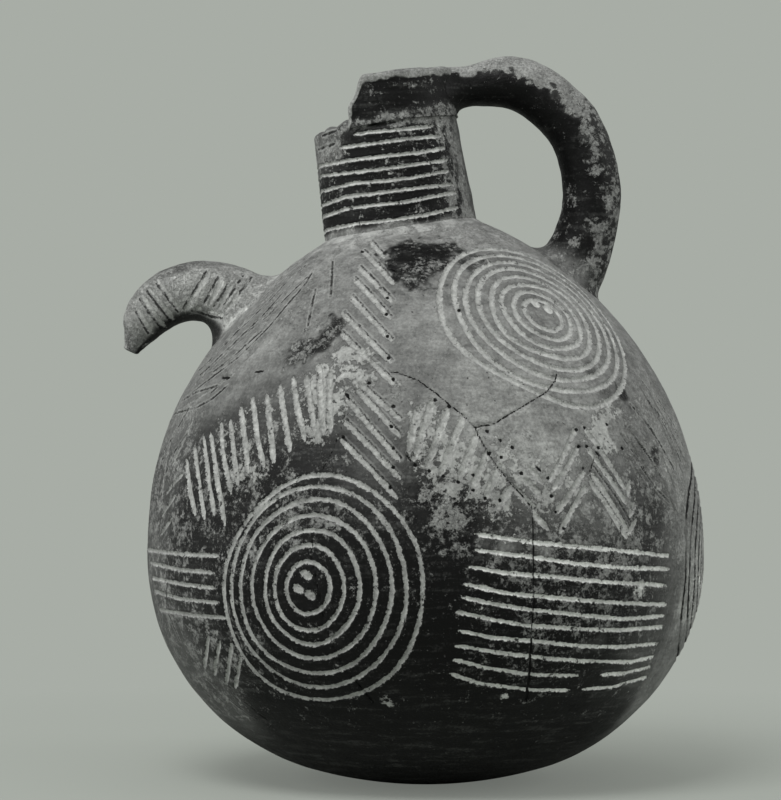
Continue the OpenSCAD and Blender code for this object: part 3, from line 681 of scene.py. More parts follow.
def circle_path(at, radius, seed):
    """A hand-drawn ring about a place on the body, pressed onto its surface."""
    centre = on_body(*at)
    normal = body_frame(centre[None])[1][0]
    side = np.array([math.cos(math.radians(at[0])), math.sin(math.radians(at[0])), 0.0])
    up = np.cross(side, -normal)
    a = np.linspace(0, 2 * math.pi, 121)
    rng = np.random.default_rng(seed)
    wobble = sum(rng.normal(0, 0.011) * np.cos(k * a + rng.uniform(0, 6.3)) for k in (2, 3, 4, 5))
    r = radius * (1 + wobble)
    p = centre + r[:, None] * (np.cos(a)[:, None] * side + np.sin(a)[:, None] * up)
    for _ in range(5):
        h, n = body_frame(p)
        p = p - h[:, None] * normal / np.maximum((n @ normal), 0.3)[:, None]
    return p


# The body's skin
# Sizes of the faces on the front and the back, the azimuth where they change, and the hole for the neck
FINE, COARSE, FINE_AZ, NECK_HOLE_R = 0.7, 1.0, 98.0, 26.5
# How far one of the places above reaches when its size is 1, and the width of the finest cracks and scores
SPREAD, BLOB_R, SMEAR_R, HAIR = 12.0, 9.0, 9.0, 0.02
# Strokes of the centre band that start lower than this pixel aren't mirrored
LOW_BAND = 375


def relief(v):
    """Low lumps of a hand-built wall, the same on every piece at the same place."""
    return 0.5 * noise(v, 38.0, 3) + 0.22 * noise(v, 15.0, 5) + 0.07 * noise(v, 5.0, 9)


def body_rows():
    low = math.asin((SEAM_Z - BELLY_Z) / LOW_R)
    high = math.acos((22.0 - TOP_X) / TOP_R)
    a = np.linspace(low, 0, int(-low * LOW_R / FINE))
    b = np.linspace(0, high, int(high * TOP_R / FINE))[1:]
    r = np.concatenate([LOW_X + LOW_R * np.cos(a), TOP_X + TOP_R * np.cos(b)])
    z = np.concatenate([BELLY_Z + LOW_R * np.sin(a), BELLY_Z + TOP_R * np.sin(b)])
    return r, z


def body_columns():
    k = 180 / math.pi / BELLY_R
    fine = np.linspace(-FINE_AZ, FINE_AZ, int(2 * FINE_AZ / (FINE * k)))
    rear = np.linspace(FINE_AZ, 360 - FINE_AZ, int((360 - 2 * FINE_AZ) / (COARSE * k)))[1:]
    az = np.concatenate([fine, rear])
    start = int(np.searchsorted(az, 180.0))
    # the seam of the map lies at the back
    return np.concatenate([az[start:] - 360, az[:start], az[start : start + 1]])


def body_values(v):
    front = folded(v)
    # the tone holds the slip's grey with painted light: a highlight on the shoulder and flanks, and shade
    # towards the bottom
    found = blobs(front, field(front, spots(TONES_AND_PAINTED_LIGHT), SPREAD), spots(PATCHES), BLOB_R)
    smear = np.zeros(len(v))
    for point, value, size in spots(SMEARS):
        near = np.exp(-0.5 * ((v - point) ** 2).sum(1) / (SMEAR_R * size) ** 2)
        smear = np.maximum(smear, value[0] * near)
    return found[:, 0], found[:, 1], smear


def build_body():
    r, z = body_rows()
    az = np.radians(body_columns())
    rows, cols = len(r), len(az)
    v = turned(r, z, az)
    _, n = body_frame(v)
    quads = grid_faces(rows, cols)
    lines, names = Lines(v), []

    def owner(name):
        if name not in names:
            names.append(name)
        return names.index(name)

    def incise(path, width, lime, node, twin=None, seed=0, taper=True, back=None):
        """A node's line, and its mirror image for a twin on the back, whose width and lime may differ."""
        lines.add(path, width, owner(node), lime, taper, seed)
        if twin:
            width, lime = back or (width, lime)
            lines.add(mirrored(path), width, owner(twin), lime, taper, seed)

    seed = 10
    for node, twin, width, lime, text in STROKES:
        for px in split(text):
            seed += 1
            low = node == "lime_centre_band" and px[:, 1].min() > LOW_BAND
            incise(trace(px, body_height), width, lime, node, None if low else twin, seed)
    front = ("lime_front_circle", "lime_back_circle")
    for k, (cx, cy, rx, ry) in enumerate(FRONT_RINGS):
        a = np.linspace(0, 2 * math.pi, 97)
        rng = np.random.default_rng(70 + k)
        wobble = 1 + sum(rng.normal(0, 0.008) * np.cos(m * a + rng.uniform(0, 6.3)) for m in (2, 3, 5))
        px = np.stack([cx + rx * wobble * np.cos(a), cy + ry * wobble * np.sin(a)], 1)
        incise(trace(px, body_height), 1.75, 0.64, *front, 90 + k, False)
    for p in pixels(FRONT_DABS):
        path = trace(np.array([p - [1.5, 0], p + [2, 2.2]]), body_height)
        incise(path, 3.0, 0.64, *front, 0, False, (3.4, 0.6))
    shoulder = ("lime_shoulder_circle", "lime_back_shoulder_circle")
    for k, radius in enumerate(SHOULDER_RINGS):
        path = circle_path(SHOULDER_AT, radius, 40 + k)
        incise(path, 2.2, 0.66, *shoulder, 120 + k, False, (2.2, 0.62))
    for px in split(SHOULDER_DABS):
        incise(trace(px, body_height), 3.6, 0.72, *shoulder, 0, False, (3.6, 0.66))
    for k, radius in enumerate(SIDE_RINGS):
        path = circle_path(SIDE_AT, radius, 50 + k)
        incise(path, 1.9, 0.5, "lime_handle_side_circle", None, 140 + k, False)
    for angle in np.radians([60, 180, 300]):
        dab = SIDE_DAB_R * np.array([0, math.cos(angle), math.sin(angle)]) * [[1.0], [1.02]]
        incise(on_body(*SIDE_AT) + dab, 3.4, 0.58, "lime_handle_side_circle", taper=False)
    t = np.linspace(0, 1, 16)[:, None]
    for start, end in HORN_SIDE:
        path = np.array([on_body(*p) for p in np.array(start) * (1 - t) + np.array(end) * t])
        incise(path, 1.9, 0.54, "lime_horn_side_strokes", seed=160)
        incise(mirrored(path), 1.9, 0.54, "lime_horn_side_strokes", seed=161)

    cracks, dots, scores = Lines(v), Lines(v), Lines(v)
    for px in split(CRACKS):
        cracks.add(trace(px, body_height), 0.32, taper=False, seed=5)
    for px, width in zip(split(UPRIGHT_CRACK), (0.4, 0.8)):
        cracks.add(trace(px, body_height), width, taper=False, seed=5)
    for px in split(HAIRLINE):
        cracks.add(trace(px, body_height), HAIR, seed=5)
    for px in split(SCORES):
        path = trace(px, body_height)
        scores.add(path, 0.2, seed=6)
        scores.add(mirrored(path), 0.2, seed=6)
    for node, *_, strokes in STROKES:
        if node == "lime_centre_band":
            # the upper edge of each of these strokes shows as a fine dark line, painted shade where the
            # groove's upper edge is in shadow
            for px in split(strokes):
                scores.add(trace(px + [2.3, -2.1], body_height), HAIR, seed=11)
    for px in split(CHIPS):
        dots.add(trace(px, body_height), 0.9, seed=9)
    for p in pixels(DOTS):
        dots.add(trace(np.array([p, p + [0.6, 0.4]]), body_height), 1.1, taper=False, seed=7)

    tone, wear, smear = body_values(v)
    side = lines.owner == names.index("lime_handle_side_circle")
    patchy = smooth(noise(v, 13.0, 41) - 0.2 * (v[:, 1] < -25), -0.1, 0.3)
    lines.lime = np.where(side, 0.17 + 0.3 * patchy, lines.lime)
    h = relief(v)
    groove = 1 - smooth(lines.sd, -0.7, 0.25)
    ridge = hump(lines.sd, 0.45, 0.4) * (lines.sd < 3)
    h = h - groove * (0.5 + 0.25 * noise(v, 2.2, 31)) + 0.16 * ridge
    h = h - 0.7 * (1 - smooth(cracks.sd, -0.2, 0.45)) - 0.7 * (1 - smooth(dots.sd, -0.4, 0.3))
    h = h - 0.25 * (1 - smooth(scores.sd, 0.0, 0.5)) + 0.12 * hump(scores.sd, 0.8, 0.4)
    h = h + 0.25 * smear * (1 + noise(v, 2.0, 33))
    moved = v + n * np.maximum(h, -0.93)[:, None]
    # nothing stands out past the widest round of the body
    moved[:, :2] *= np.minimum(1, BELLY_R / np.maximum(np.hypot(moved[:, 0], moved[:, 1]), 1))[:, None]
    normals = close_seam(vertex_normals(moved, quads, NONE3), rows, cols)
    values = {"tone": tone, "wear": wear, "smear": smear, "line": lines.sd, "lime": lines.lime}
    values.update({"crack": cracks.sd, "dot": dots.sd, "score": scores.sd})
    return v, moved, quads, normals, values, lines, names, grid_uv(rows, cols)


# The sherds' outlines, as azimuth and share of the height
BREAKS = {
    "top": [(-18, 0.666), (-11, 0.709), (-7, 0.706), (-2, 0.693), (2, 0.672), (5, 0.653), (10, 0.618)],
    "slant": [(10, 0.618), (12.5, 0.573), (16, 0.536), (20.5, 0.487), (22.5, 0.35)],
    "foot": [(22.5, 0.35), (24.5, 0.172), (-10, 0.167)],
    "left": [(-10, 0.167), (-17, 0.191), (-21, 0.258), (-23, 0.34), (-23, 0.404), (-22, 0.52), (-18, 0.63)],
    "right": [(10, 0.618), (13, 0.621), (18, 0.638), (23, 0.658), (30.5, 0.694)],
    "edge": [(39, 0.612), (35, 0.555), (30, 0.475), (27.5, 0.379)],
}


def within(p, places):
    """Which points lie behind a sherd's outline, seen from the front."""
    poly = np.array([on_body(*q)[[0, 2]] for q in places])
    x, z = p[:, 0], p[:, 2]
    inside = np.zeros(len(p), bool)
    for a, b in zip(poly, np.roll(poly, -1, 0)):
        crosses = (a[1] > z) != (b[1] > z)
        inside ^= crosses & (x < (b[0] - a[0]) * (z - a[1]) / (b[1] - a[1] + 1e-12) + a[0])
    return inside & (p[:, 1] < 0)


def make_body():
    v, moved, quads, normals, values, lines, names, uv = build_body()
    centre = v[quads].mean(1)
    gap = to_neck(centre)
    keep = np.hypot(gap[:, 0], gap[:, 1]) > NECK_HOLE_R
    quads, centre = quads[keep], centre[keep]
    b = BREAKS
    middle = within(centre, b["top"] + b["slant"][1:] + b["foot"][1:] + b["left"][1:])
    right = within(centre, b["right"] + b["edge"] + b["slant"][:0:-1])
    depth = values["line"][quads]
    lime = depth.mean(1) < 0.3
    owner = lines.owner[quads[np.arange(len(quads)), depth.argmin(1)]]
    coats = {
        "slip_front": ("slip_coat_front", (centre[:, 1] < 0) & ~middle & ~right, "grey_burnished_slip"),
        "slip_back": ("slip_coat_back", centre[:, 1] >= 0, "dark_burnished_slip"),
        "slip_middle_sherd": ("slip_coat_middle_sherd", middle, "dark_burnished_slip"),
        "slip_right_sherd": ("slip_coat_right_sherd", right, "pale_worn_slip"),
    }
    for name, (node, mask, slot) in coats.items():
        piece(name, moved, quads[mask & ~lime], NONE3, normals, values, uv, slot, node)
    for k, node in enumerate(names):
        faces = quads[lime & (owner == k)]
        name = "fill_" + node.removeprefix("lime_")
        piece(name, moved, faces, NONE3, normals, values, uv, "lime_fill", node)


# The base bowl
def make_base():
    turn_low = math.asin((SEAM_Z - BELLY_Z) / LOW_R)
    a = np.linspace(turn_low, -math.pi / 2 + TANGENT, 60)
    outer = [(LOW_X + LOW_R * math.cos(t), BELLY_Z + LOW_R * math.sin(t)) for t in a]
    start = math.asin(outer[-1][0] / BASE_R)
    foot = math.asin(FOOT_R / BASE_R)
    a = np.linspace(start, foot, 24)[1:]
    outer += [(BASE_R * math.sin(t), BASE_Z - BASE_R * math.cos(t)) for t in a]
    outer += [(r, 0.0) for r in np.linspace(FOOT_R, 0.4, 14)[1:]]
    inner = []
    for r in np.linspace(0.4, 200, 1200):
        low = BASE_Z - math.sqrt(max((BASE_R - WALL) ** 2 - r**2, 0))
        mid = BELLY_Z - math.sqrt(max((LOW_R - WALL) ** 2 - (r - LOW_X) ** 2, 0))
        z = low if r < (BASE_R - WALL) * math.sin(TANGENT) else mid
        if z > SEAM_Z:
            break
        inner.append((r, z))
    inner = inner[::18] + [(inner[-1][0], SEAM_Z)]
    section = np.array(outer + inner)
    az = np.radians(np.linspace(-180, 180, 541))
    v = turned(section[:, 0], section[:, 1], az)
    rows, cols = len(section), len(az)
    quads = grid_faces(rows, cols)[:, ::-1]
    outside = np.repeat(np.arange(rows) < len(outer), cols)
    _, n = body_frame(v)
    lift = relief(v) * outside * smooth(v[:, 2], 0.5, 7.0)
    moved = v + n * lift[:, None]
    moved[:, 2] = np.maximum(moved[:, 2], 0)
    normals = vertex_normals(moved, quads, NONE3)
    normals[:cols] = body_frame(v[:cols])[1]
    # the body's tone and wear, whose grey holds painted shade towards the bottom
    found = field(folded(v), spots(TONES_AND_PAINTED_LIGHT), SPREAD)
    low = 1 - smooth(v[:, 2], 12, 30)
    tone = np.where(outside, found[:, 0] * (1 - low) + 0.11 * low, 0.34)
    wear = np.where(outside, found[:, 1] * (1 - low), 0.2)
    values = {"tone": tone, "wear": wear}
    uv = grid_uv(rows, cols)
    piece("round_base", moved, quads, NONE3, normals, values, uv, "dark_burnished_slip", "base_bowl")


# The neck, its bead and the mouth
NECK_STROKES = """
    355,134 395,130 434,126|339,148 385,142 413,138 440,136|320,166 345,161 375,157 415,153 445,148
    321,176 365,171 405,166 447,160|322,191 355,183 385,181 415,177 448,171
    323,205 345,197 385,192 425,187 453,184|323,217 345,209 375,205 405,202 457,192
    327,230 355,224 385,221 425,215 459,207"""
# heights of these lines on the handle's side, from the top
NECK_LINE_H = range(40, 0, -5)


def make_neck():
    cols = 721
    theta = np.linspace(-math.pi, math.pi, cols)
    ring = np.stack([np.cos(theta), np.sin(theta), np.zeros(cols)], 1)
    where = from_neck(np.stack([28 * np.cos(theta), 28 * np.sin(theta), np.full(cols, 45.0)], 1))
    broken = smooth(np.degrees(np.abs(theta)), 105, 125)
    lump = hump(np.degrees(np.abs(theta)), 122, 11)
    jag = 1.1 * noise(where, 7.0, 61) + 0.6 * noise(where, 2.2, 62) - 0.8
    top = NECK_H - 0.3 + broken * jag + 1.6 * lump
    up = np.concatenate([np.linspace(-9, 42, 128), np.linspace(42, 45, 9)[1:]])
    rows = []
    for h in up:
        hh = -9 + (h + 9) * (top - 1.2 + 9) / 54
        rows.append(np.stack([neck_radius(hh) * ring[:, 0], neck_radius(hh) * ring[:, 1], hh], 1))
    outer_rows = len(rows)
    for a in np.linspace(0, math.pi, 14)[1:-1]:
        mid = (NECK_TOP_R + PASSAGE_R) / 2
        half = (NECK_TOP_R - PASSAGE_R) / 2
        r = mid + half * math.cos(a) * (1 - 0.15 * math.sin(a))
        rows.append(np.stack([r * ring[:, 0], r * ring[:, 1], top - 1.2 + 1.6 * math.sin(a)], 1))
    for h in np.linspace(1, 0, 40):
        hh = -12 + h * (top - 1.2 + 12)
        rows.append(np.stack([PASSAGE_R * ring[:, 0], PASSAGE_R * ring[:, 1], hh], 1))
    q = np.array(rows)
    n_rows = len(q)
    v = from_neck(q.reshape(-1, 3))
    quads = grid_faces(n_rows, cols)
    n = vertex_normals(v, quads, NONE3)
    outside = np.repeat(np.arange(n_rows) < outer_rows, cols)
    lines = Lines(v)
    seed = 200
    angle = np.degrees(np.arctan2(q.reshape(-1, 3)[:, 1], q.reshape(-1, 3)[:, 0]))
    for px, h in zip(split(NECK_STROKES), NECK_LINE_H):
        path = trace(px, neck_height, 3.0)
        local = to_neck(path)
        a = np.degrees(np.arctan2(local[:, 1], local[:, 0]))
        rest = np.linspace(a[0], -180, 30)
        level = local[0, 2] + (h - local[0, 2]) * smooth(-rest, -a[0], 180.0)
        r = neck_radius(level)
        tail = from_neck(np.stack([r * np.cos(np.radians(rest)), r * np.sin(np.radians(rest)), level], 1))
        short = px[0, 0] > 336
        whole = path if short else np.concatenate([tail[::-1][:-1], path])
        for p in (whole, mirrored(whole)):
            seed += 1
            lines.add(p, 1.5, 0, 0.72, seed=seed)
    scores = Lines(v)
    for px in split(NECK_SCORES):
        scores.add(trace(px, neck_height), 0.3, seed=8)
    lines.sd = np.where(outside, lines.sd, FAR)
    high = q.reshape(-1, 3)[:, 2]
    mottle = noise(v, 9.0, 71)
    across = np.cos(np.radians(angle))
    # dark between the lines, worn at the top and on the horn's side, with a pale strip by the handle
    strip, plain = smooth(across, 0.62, 0.72), smooth(across, 0.8, 0.92)
    foot, crest = 1 - smooth(high + 2.0 * mottle, 1.8, 4.6), smooth(high + 2.5 * mottle, 38.5, 42.5)
    left = smooth(-across, 0.5, 0.85) * smooth(high, 22, 34)
    grain = noise(v * [[1, 1, 0.4]], 2.6, 76)
    tone = 0.04 + 0.02 * mottle + 0.07 * strip + (0.24 + 0.22 * grain) * plain
    wear = 0.24 + 0.16 * mottle + (0.22 + 0.3 * grain) * strip * (1 - plain) + 0.3 * plain
    tone = tone * (1 - 0.6 * crest) + 0.3 * 0.6 * crest
    wear = np.maximum(wear, 0.52 * crest)
    tone = tone * (1 - left) + left * 0.34
    wear = wear * (1 - left) + left * 0.52
    tone = np.where(outside, tone * (1 - foot) + 0.46 * foot, 0.34)
    wear = np.where(outside, wear * (1 - foot) + 0.5 * foot, 0.3)
    smear = np.where(outside, 0.2 + 0.2 * mottle, 0.0) * (high > 4) * (1 - plain)
    groove = 1 - smooth(lines.sd, -0.6, 0.25)
    ridge = hump(lines.sd, 0.4, 0.35)
    h = 0.3 * noise(v, 17.0, 73) + 0.12 * noise(v, 5.0, 74) - groove * 0.5 + 0.15 * ridge * (lines.sd < 3)
    h = h - 0.25 * (1 - smooth(scores.sd, 0.0, 0.5))
    h = np.where(outside, h, 0.15 * noise(v, 6.0, 75))
    moved = v + n * h[:, None]
    normals = close_seam(vertex_normals(moved, quads, NONE3), n_rows, cols)
    values = {"tone": tone, "wear": wear, "smear": smear}
    values.update({"line": lines.sd, "lime": lines.lime, "score": scores.sd})
    lime = (lines.sd[quads].mean(1) < 0.25) & outside[quads[:, 0]]
    uv = grid_uv(n_rows, cols)
    slot, nodes = "dark_burnished_slip", ("neck", "slip_coat_neck")
    piece("neck_tube", moved, quads[~lime], NONE3, normals, values, uv, slot, *nodes)
    name, node = "fill_neck_lines", "lime_neck_lines"
    piece(name, moved, quads[lime], NONE3, normals, values, uv, "lime_fill", node)


def make_bead():
    """The clay pressed round the neck's foot: a hollow curve from the neck out onto the shoulder."""
    cols, rows = 541, 26
    theta = np.linspace(-math.pi, math.pi, cols)
    direction = np.stack([np.cos(theta), np.sin(theta)], 1)
    uneven = 1 + 0.18 * noise(np.stack([30 * np.cos(theta), 30 * np.sin(theta), 0 * theta], 1), 11.0, 81)
    out = []
    for k in range(rows):
        t = k / (rows - 1)
        spread = 5.6 * uneven * (1 - math.cos(t * math.pi / 2))
        r = NECK_FOOT_R + 0.25 - 1.2 * (1 - t) ** 6 + spread - 0.15 * t
        foot = from_neck(np.stack([r * direction[:, 0], r * direction[:, 1], 0 * theta], 1))
        for _ in range(8):
            h, n = body_frame(foot)
            foot = foot - (h / np.maximum(n[:, 2], 0.3))[:, None] * [[0, 0, 1]]
        lift = 1.3 * uneven * (1 - math.sin(t * math.pi / 2)) - 0.9 * t**8 + 0.25
        out.append(foot + lift[:, None] * [[-math.sin(LEAN), 0, math.cos(LEAN)]])
    v = np.array(out).reshape(-1, 3)
    quads = grid_faces(rows, cols)[:, ::-1]
    n = vertex_normals(v, quads, NONE3)
    t = np.repeat(np.linspace(0, 1, rows), cols)
    soft = np.sin(t * math.pi)
    moved = v + n * ((0.35 * noise(v, 6.0, 83) + 0.15 * noise(v, 2.5, 84)) * soft)[:, None]
    normals = vertex_normals(moved, quads, NONE3)
    tone = 0.57 + 0.04 * noise(v, 8.0, 85)
    wear = 0.25 + 0.2 * noise(v, 5.0, 86)
    values = {"tone": tone, "wear": wear}
    uv = grid_uv(rows, cols)
    piece("neck_bead", moved, quads, NONE3, normals, values, uv, "pale_worn_slip", "neck_luting")


LIP_H = 1.4


def make_mouth():
    cols, half_wall = 481, (MOUTH_R - PASSAGE_R) / 2
    limit = math.acos(-(CUT_FOOT + 0.4) / MOUTH_R)
    theta = np.linspace(-limit, limit, cols)
    mid_r = PASSAGE_R + half_wall
    rows = []
    level = NECK_H - 2.4

    def height(x):
        rim = NECK_H + MOUTH_H - x * math.tan(RIM_SLOPE)
        cut = NECK_H + (x + CUT_FOOT) / math.tan(CUT_SLOPE)
        soft = 1.4
        return -soft * np.log(np.exp(-np.clip(rim, 0, 90) / soft) + np.exp(-np.clip(cut, 0, 90) / soft))

    where = from_neck(np.stack([mid_r * np.cos(theta), mid_r * np.sin(theta), np.full(cols, 60.0)], 1))
    jag = 0.35 * noise(where, 8.0, 91) + 0.2 * noise(where, 2.5, 92)

    def edge(r):
        """Where the wall's rounded lip starts at a radius."""
        return np.maximum(height(r * np.cos(theta)) + jag - LIP_H, level + 0.2)

    for t in np.linspace(0, 1, 46):
        rows.append((np.full(cols, MOUTH_R), level + (edge(MOUTH_R) - level) * t))
    for a in np.linspace(0, math.pi, 18)[1:-1]:
        r = mid_r + half_wall * (abs(math.cos(a)) ** 0.6) * (1 if math.cos(a) > 0 else -1)
        rows.append((np.full(cols, r), edge(r) + LIP_H * math.sin(a) ** 0.7))
    for t in np.linspace(1, 0, 30):
        rows.append((np.full(cols, PASSAGE_R), level + (edge(PASSAGE_R) - level) * t))
    q = np.array([np.stack([r * np.cos(theta), r * np.sin(theta), h], 1) for r, h in rows])
    v = from_neck(q.reshape(-1, 3))
    n_rows = len(rows)
    quads = grid_faces(n_rows, cols)
    last = n_rows - 1
    bottom = np.arange(cols - 1)
    strip = np.stack([last * cols + bottom, last * cols + bottom + 1, bottom + 1, bottom], 1)
    quads = np.concatenate([quads, strip])
    n = vertex_normals(v, quads, NONE3)
    flat = q.reshape(-1, 3)
    top = np.repeat((height(MOUTH_R * np.cos(theta)) + jag)[None, :], n_rows, 0).ravel()
    under = top - flat[:, 2]
    outer = np.hypot(flat[:, 0], flat[:, 1]) > MOUTH_R - 0.05
    mottle = noise(v * [[1, 1, 2]], 5.0, 96)
    # near-black and streaked, with a pale worn lip that also carries a painted highlight where its top
    # faces the light, a granular foot and a pale edge where it is cut away
    band = 1 - smooth(under + 1.0 * mottle + 0.4 * noise(v, 1.6, 98), 2.7, 4.2)
    foot = 1 - smooth(flat[:, 2] - NECK_H + 1.2 * mottle - 0.1 * flat[:, 0], -0.5, 3.0)
    streak = noise(v * [[0.3, 0.3, 2.5]], 2.4, 97)
    tone = (0.045 + 0.035 * streak) * (1 - foot) + 0.16 * foot
    tone = tone * (1 - band) + 0.5 * band
    wear = np.maximum(0.26 + 0.1 * mottle + 0.14 * streak, np.maximum(0.85 * band, 0.5 * foot))
    tone = np.where(outer, tone, np.where(under > 3, 0.3, 0.5))
    wear = np.where(outer, wear, 0.5)
    h = 0.28 * noise(v, 14.0, 93) + 0.12 * noise(v * [[1, 1, 4]], 12.0, 94) + 0.05 * noise(v, 2.0, 95)
    h = h + 0.3 * band * outer
    moved = v + n * h[:, None]
    bulge = hump(flat[:, 2] - NECK_H, 5.5, 3.0) * smooth(-flat[:, 0], 5, 11)
    moved[:, 0] -= 1.5 * bulge
    normals = vertex_normals(moved, quads, NONE3)
    values = {"tone": tone, "wear": wear}
    uv = grid_uv(n_rows, cols)
    piece("mouth_wall", moved, quads, NONE3, normals, values, uv, "dark_burnished_slip", "mouth")


# The handle and the horn
def tube(path, radii, sides, fillets=()):
    """Rings of a tube in the XZ plane, flared where they near the surfaces that they join."""
    way = np.gradient(path, axis=0)
    way /= np.linalg.norm(way, axis=1, keepdims=True)
    across = np.stack([way[:, 2], 0 * way[:, 0], -way[:, 0]], 1)
    a = np.linspace(0, 2 * math.pi, sides + 1)
    out = np.cos(a)[None, :, None] * across[:, None, :] + np.sin(a)[None, :, None] * np.array([0, 1.0, 0])
    v = path[:, None, :] + radii[:, None, None] * out
    for surface, size, weight in fillets:
        h, n = surface(v.reshape(-1, 3))
        way_out = out.reshape(-1, 3)
        way_out = way_out - (way_out * n).sum(1, keepdims=True) * n
        t = np.clip(size - h, 0, size)
        push = (size - np.sqrt(np.maximum(size**2 - t**2, 0))) * np.tile(weight(np.cos(a)), len(path))
        v = v + (way_out * push[:, None]).reshape(v.shape)
    return v, out, a


def close_ends(v, rows, cols, first, last):
    """Fans over a tube's two ends."""
    n = len(v)
    v = np.concatenate([v, [first], [last]])
    c = np.arange(cols - 1)
    low = np.stack([c, c + 1, np.full(cols - 1, n)], 1)
    high = np.stack([(rows - 1) * cols + c + 1, (rows - 1) * cols + c, np.full(cols - 1, n + 1)], 1)
    return v, np.concatenate([low, high])


def end_uv(rows, cols):
    return np.concatenate([grid_uv(rows, cols), [[0.5, 0], [0.5, 1]]])


def close_seam(normals, rows, cols):
    """The same normals on both sides of a grid's seam."""
    seam = np.arange(rows) * cols
    both = normals[seam] + normals[seam + cols - 1]
    both /= np.maximum(np.linalg.norm(both, axis=1, keepdims=True), 1e-9)
    normals[seam], normals[seam + cols - 1] = both, both
    return normals


ARM_R, BEND_R, ROOT_R, ROOT_X, HANDLE_SIDES, HORN_SIDES = 8.8, 11.2, 15.4, 57.0, 128, 112
ARM_RISE, ROOT_LEAN = math.radians(16.2), math.radians(36.4)


def make_handle():
    rim = from_neck(np.array([[MOUTH_R, 0, NECK_H + MOUTH_H - MOUTH_R * math.tan(RIM_SLOPE)]]))[0]
    start = np.array([rim[0] - ARM_R, 0, rim[2] - ARM_R])
    end = np.array([ROOT_X, 0, BELLY_Z + math.sqrt(TOP_R**2 - (ROOT_X - TOP_X) ** 2)])
    way = np.array([math.sin(ROOT_LEAN), 0, math.cos(ROOT_LEAN)])
    knee = start + 66 * np.array([math.cos(ARM_RISE), 0, math.sin(ARM_RISE)])
    other = end + 37.6 * way
    # the arm's first stretch stays inside the mouth's wall
    t = np.linspace(0.026, 1, 240)[:, None]
    path = (1 - t) ** 3 * start + 3 * (1 - t) ** 2 * t * knee + 3 * (1 - t) * t**2 * other + t**3 * end
    # the arm dips just past the mouth, and its hump stands over the bend
    path[:, 2] -= 1.4 * hump(t[:, 0], 0.09, 0.065)
    path[:, 2] += 1.1 * hump(t[:, 0], 0.24, 0.08)
    path = np.concatenate([path, end - way * np.linspace(0.5, 6, 8)[:, None]])
    share = np.concatenate([t[:, 0], np.ones(8)])
    radii = ARM_R + (BEND_R - ARM_R) * smooth(share, 0, 0.4) + (ROOT_R - BEND_R - 1.2) * share**9
    radii = radii - 1.1 * hump(share, 0.08, 0.05) + 0.5 * hump(share, 0.235, 0.08)
    fillets = [
        (body_frame, 5.0, lambda c: 0.75 + 0.25 * c),
        (mouth_frame, 8.0, lambda c: 0.9 * smooth(c, -0.85, 0.15) * (1 - 0.6 * smooth(c, 0.2, 0.9))),
    ]
    v, out, a = tube(path, radii, HANDLE_SIDES, fillets)
    rows, cols = v.shape[:2]
    flat = v.reshape(-1, 3)
    normal = out.reshape(-1, 3)
    h = 0.5 * noise(flat, 22.0, 101) + 0.3 * noise(flat, 8.0, 102) + 0.14 * noise(flat, 3.0, 103)
    s = np.repeat(share, cols)
    h = h * smooth(s, 0.03, 0.12)
    flat = flat + normal * h[:, None]
    flat, tris = close_ends(flat, rows, cols, path[0], path[-1])
    quads = grid_faces(rows, cols)[:, ::-1]
    normals = close_seam(vertex_normals(flat, quads, tris[:, ::-1]), rows, cols)
    s = np.append(s, [0, 1])
    inner = np.append(np.cos(np.tile(a, rows)), [0, 0])
    mottle = noise(flat, 6.0, 104)
    # near-black on the inside of the bend; pale and granular along its top and its outside, which is worn
    # slip with a painted highlight on top, brightest on the crown of the bend and on the arm over the mouth
    edge = -0.05 - 0.5 * (1 - smooth(s, 0.1, 0.24)) + 0.3 * mottle
    pale = 1 - smooth(inner + 0.25 * noise(flat, 2.2, 105), edge - 0.34, edge + 0.2)
    pale = pale * (1 - 0.45 * smooth(s, 0.55, 0.7))
    crown = hump(s, 0.27, 0.17)
    arm = pale * (1 - smooth(s, 0.12, 0.2))
    tone = 0.035 + 0.11 * pale + 0.24 * crown * pale + 0.02 * mottle + 0.36 * arm
    wear = 0.18 + pale * (0.27 + 0.32 * crown) + 0.14 * smooth(s, 0.55, 0.75)
    wear = wear + 0.12 * mottle * smooth(s, 0.1, 0.3)
    wear = wear + (0.16 * noise(flat, 1.8, 106) - 0.03) * smooth(s, 0.25, 0.4)
    wear = wear * (1 - arm) + 0.8 * arm
    foot = smooth(s + 0.02 * mottle, 0.9, 0.985) * (1 - 0.8 * smooth(-inner, 0.2, 0.8))
    tone = tone * (1 - foot) + 0.4 * foot
    wear = wear * (1 - foot) + 0.4 * foot
    uv = end_uv(rows, cols)
    values = {"tone": tone, "wear": wear}
    slot = "dark_burnished_slip"
    piece("loop_handle", flat, quads, tris[:, ::-1], normals, values, uv, slot, "handle")


HORN_X, ARCH_W, ARCH_H, HORN_END, ARCH_SHARE = 73.0, 25.0, 25.0, 9.5, 6 / 7
# share of the way along the horn, share of its width
HORN_TAPER = [
    (0, 1), (0.34, 0.98), (0.43, 0.96), (0.56, 0.91), (0.66, 0.86), (0.76, 0.79), (0.86, 0.64),
    (0.93, 0.43), (1, 0.26),
]
# the first eight strokes run across the horn, and the others are dabs
LONG_STROKES = 8
HORN_STROKES = """
    157,279 168,294 181,311|150,290 162,305 174,320|142,296 153,312 165,327|138,310 145,322 152,333
    210,271 198,290 185,311|222,278 216,292 209,305|232,284 226,296 219,308|238,292 233,302 226,311
    197,308 200,309|209,311 212,312|219,315 222,315"""
HORN_SCORES = """
    155,281 166,296 178,312|147,291 159,307 171,322|140,299 150,314 161,328|136,312 142,323 148,333
    206,271 195,289 183,308|218,277 211,290 204,303|230,280 222,294 214,306|243,276 232,292 222,306
    252,277 240,292 229,306|192,311 198,312 204,314|206,315 214,317 222,318"""


def on_plane(px):
    """Pixel points as points of a plane, in the photograph's scale."""
    return np.concatenate([px * PX, np.zeros((len(px), 1))], 1)


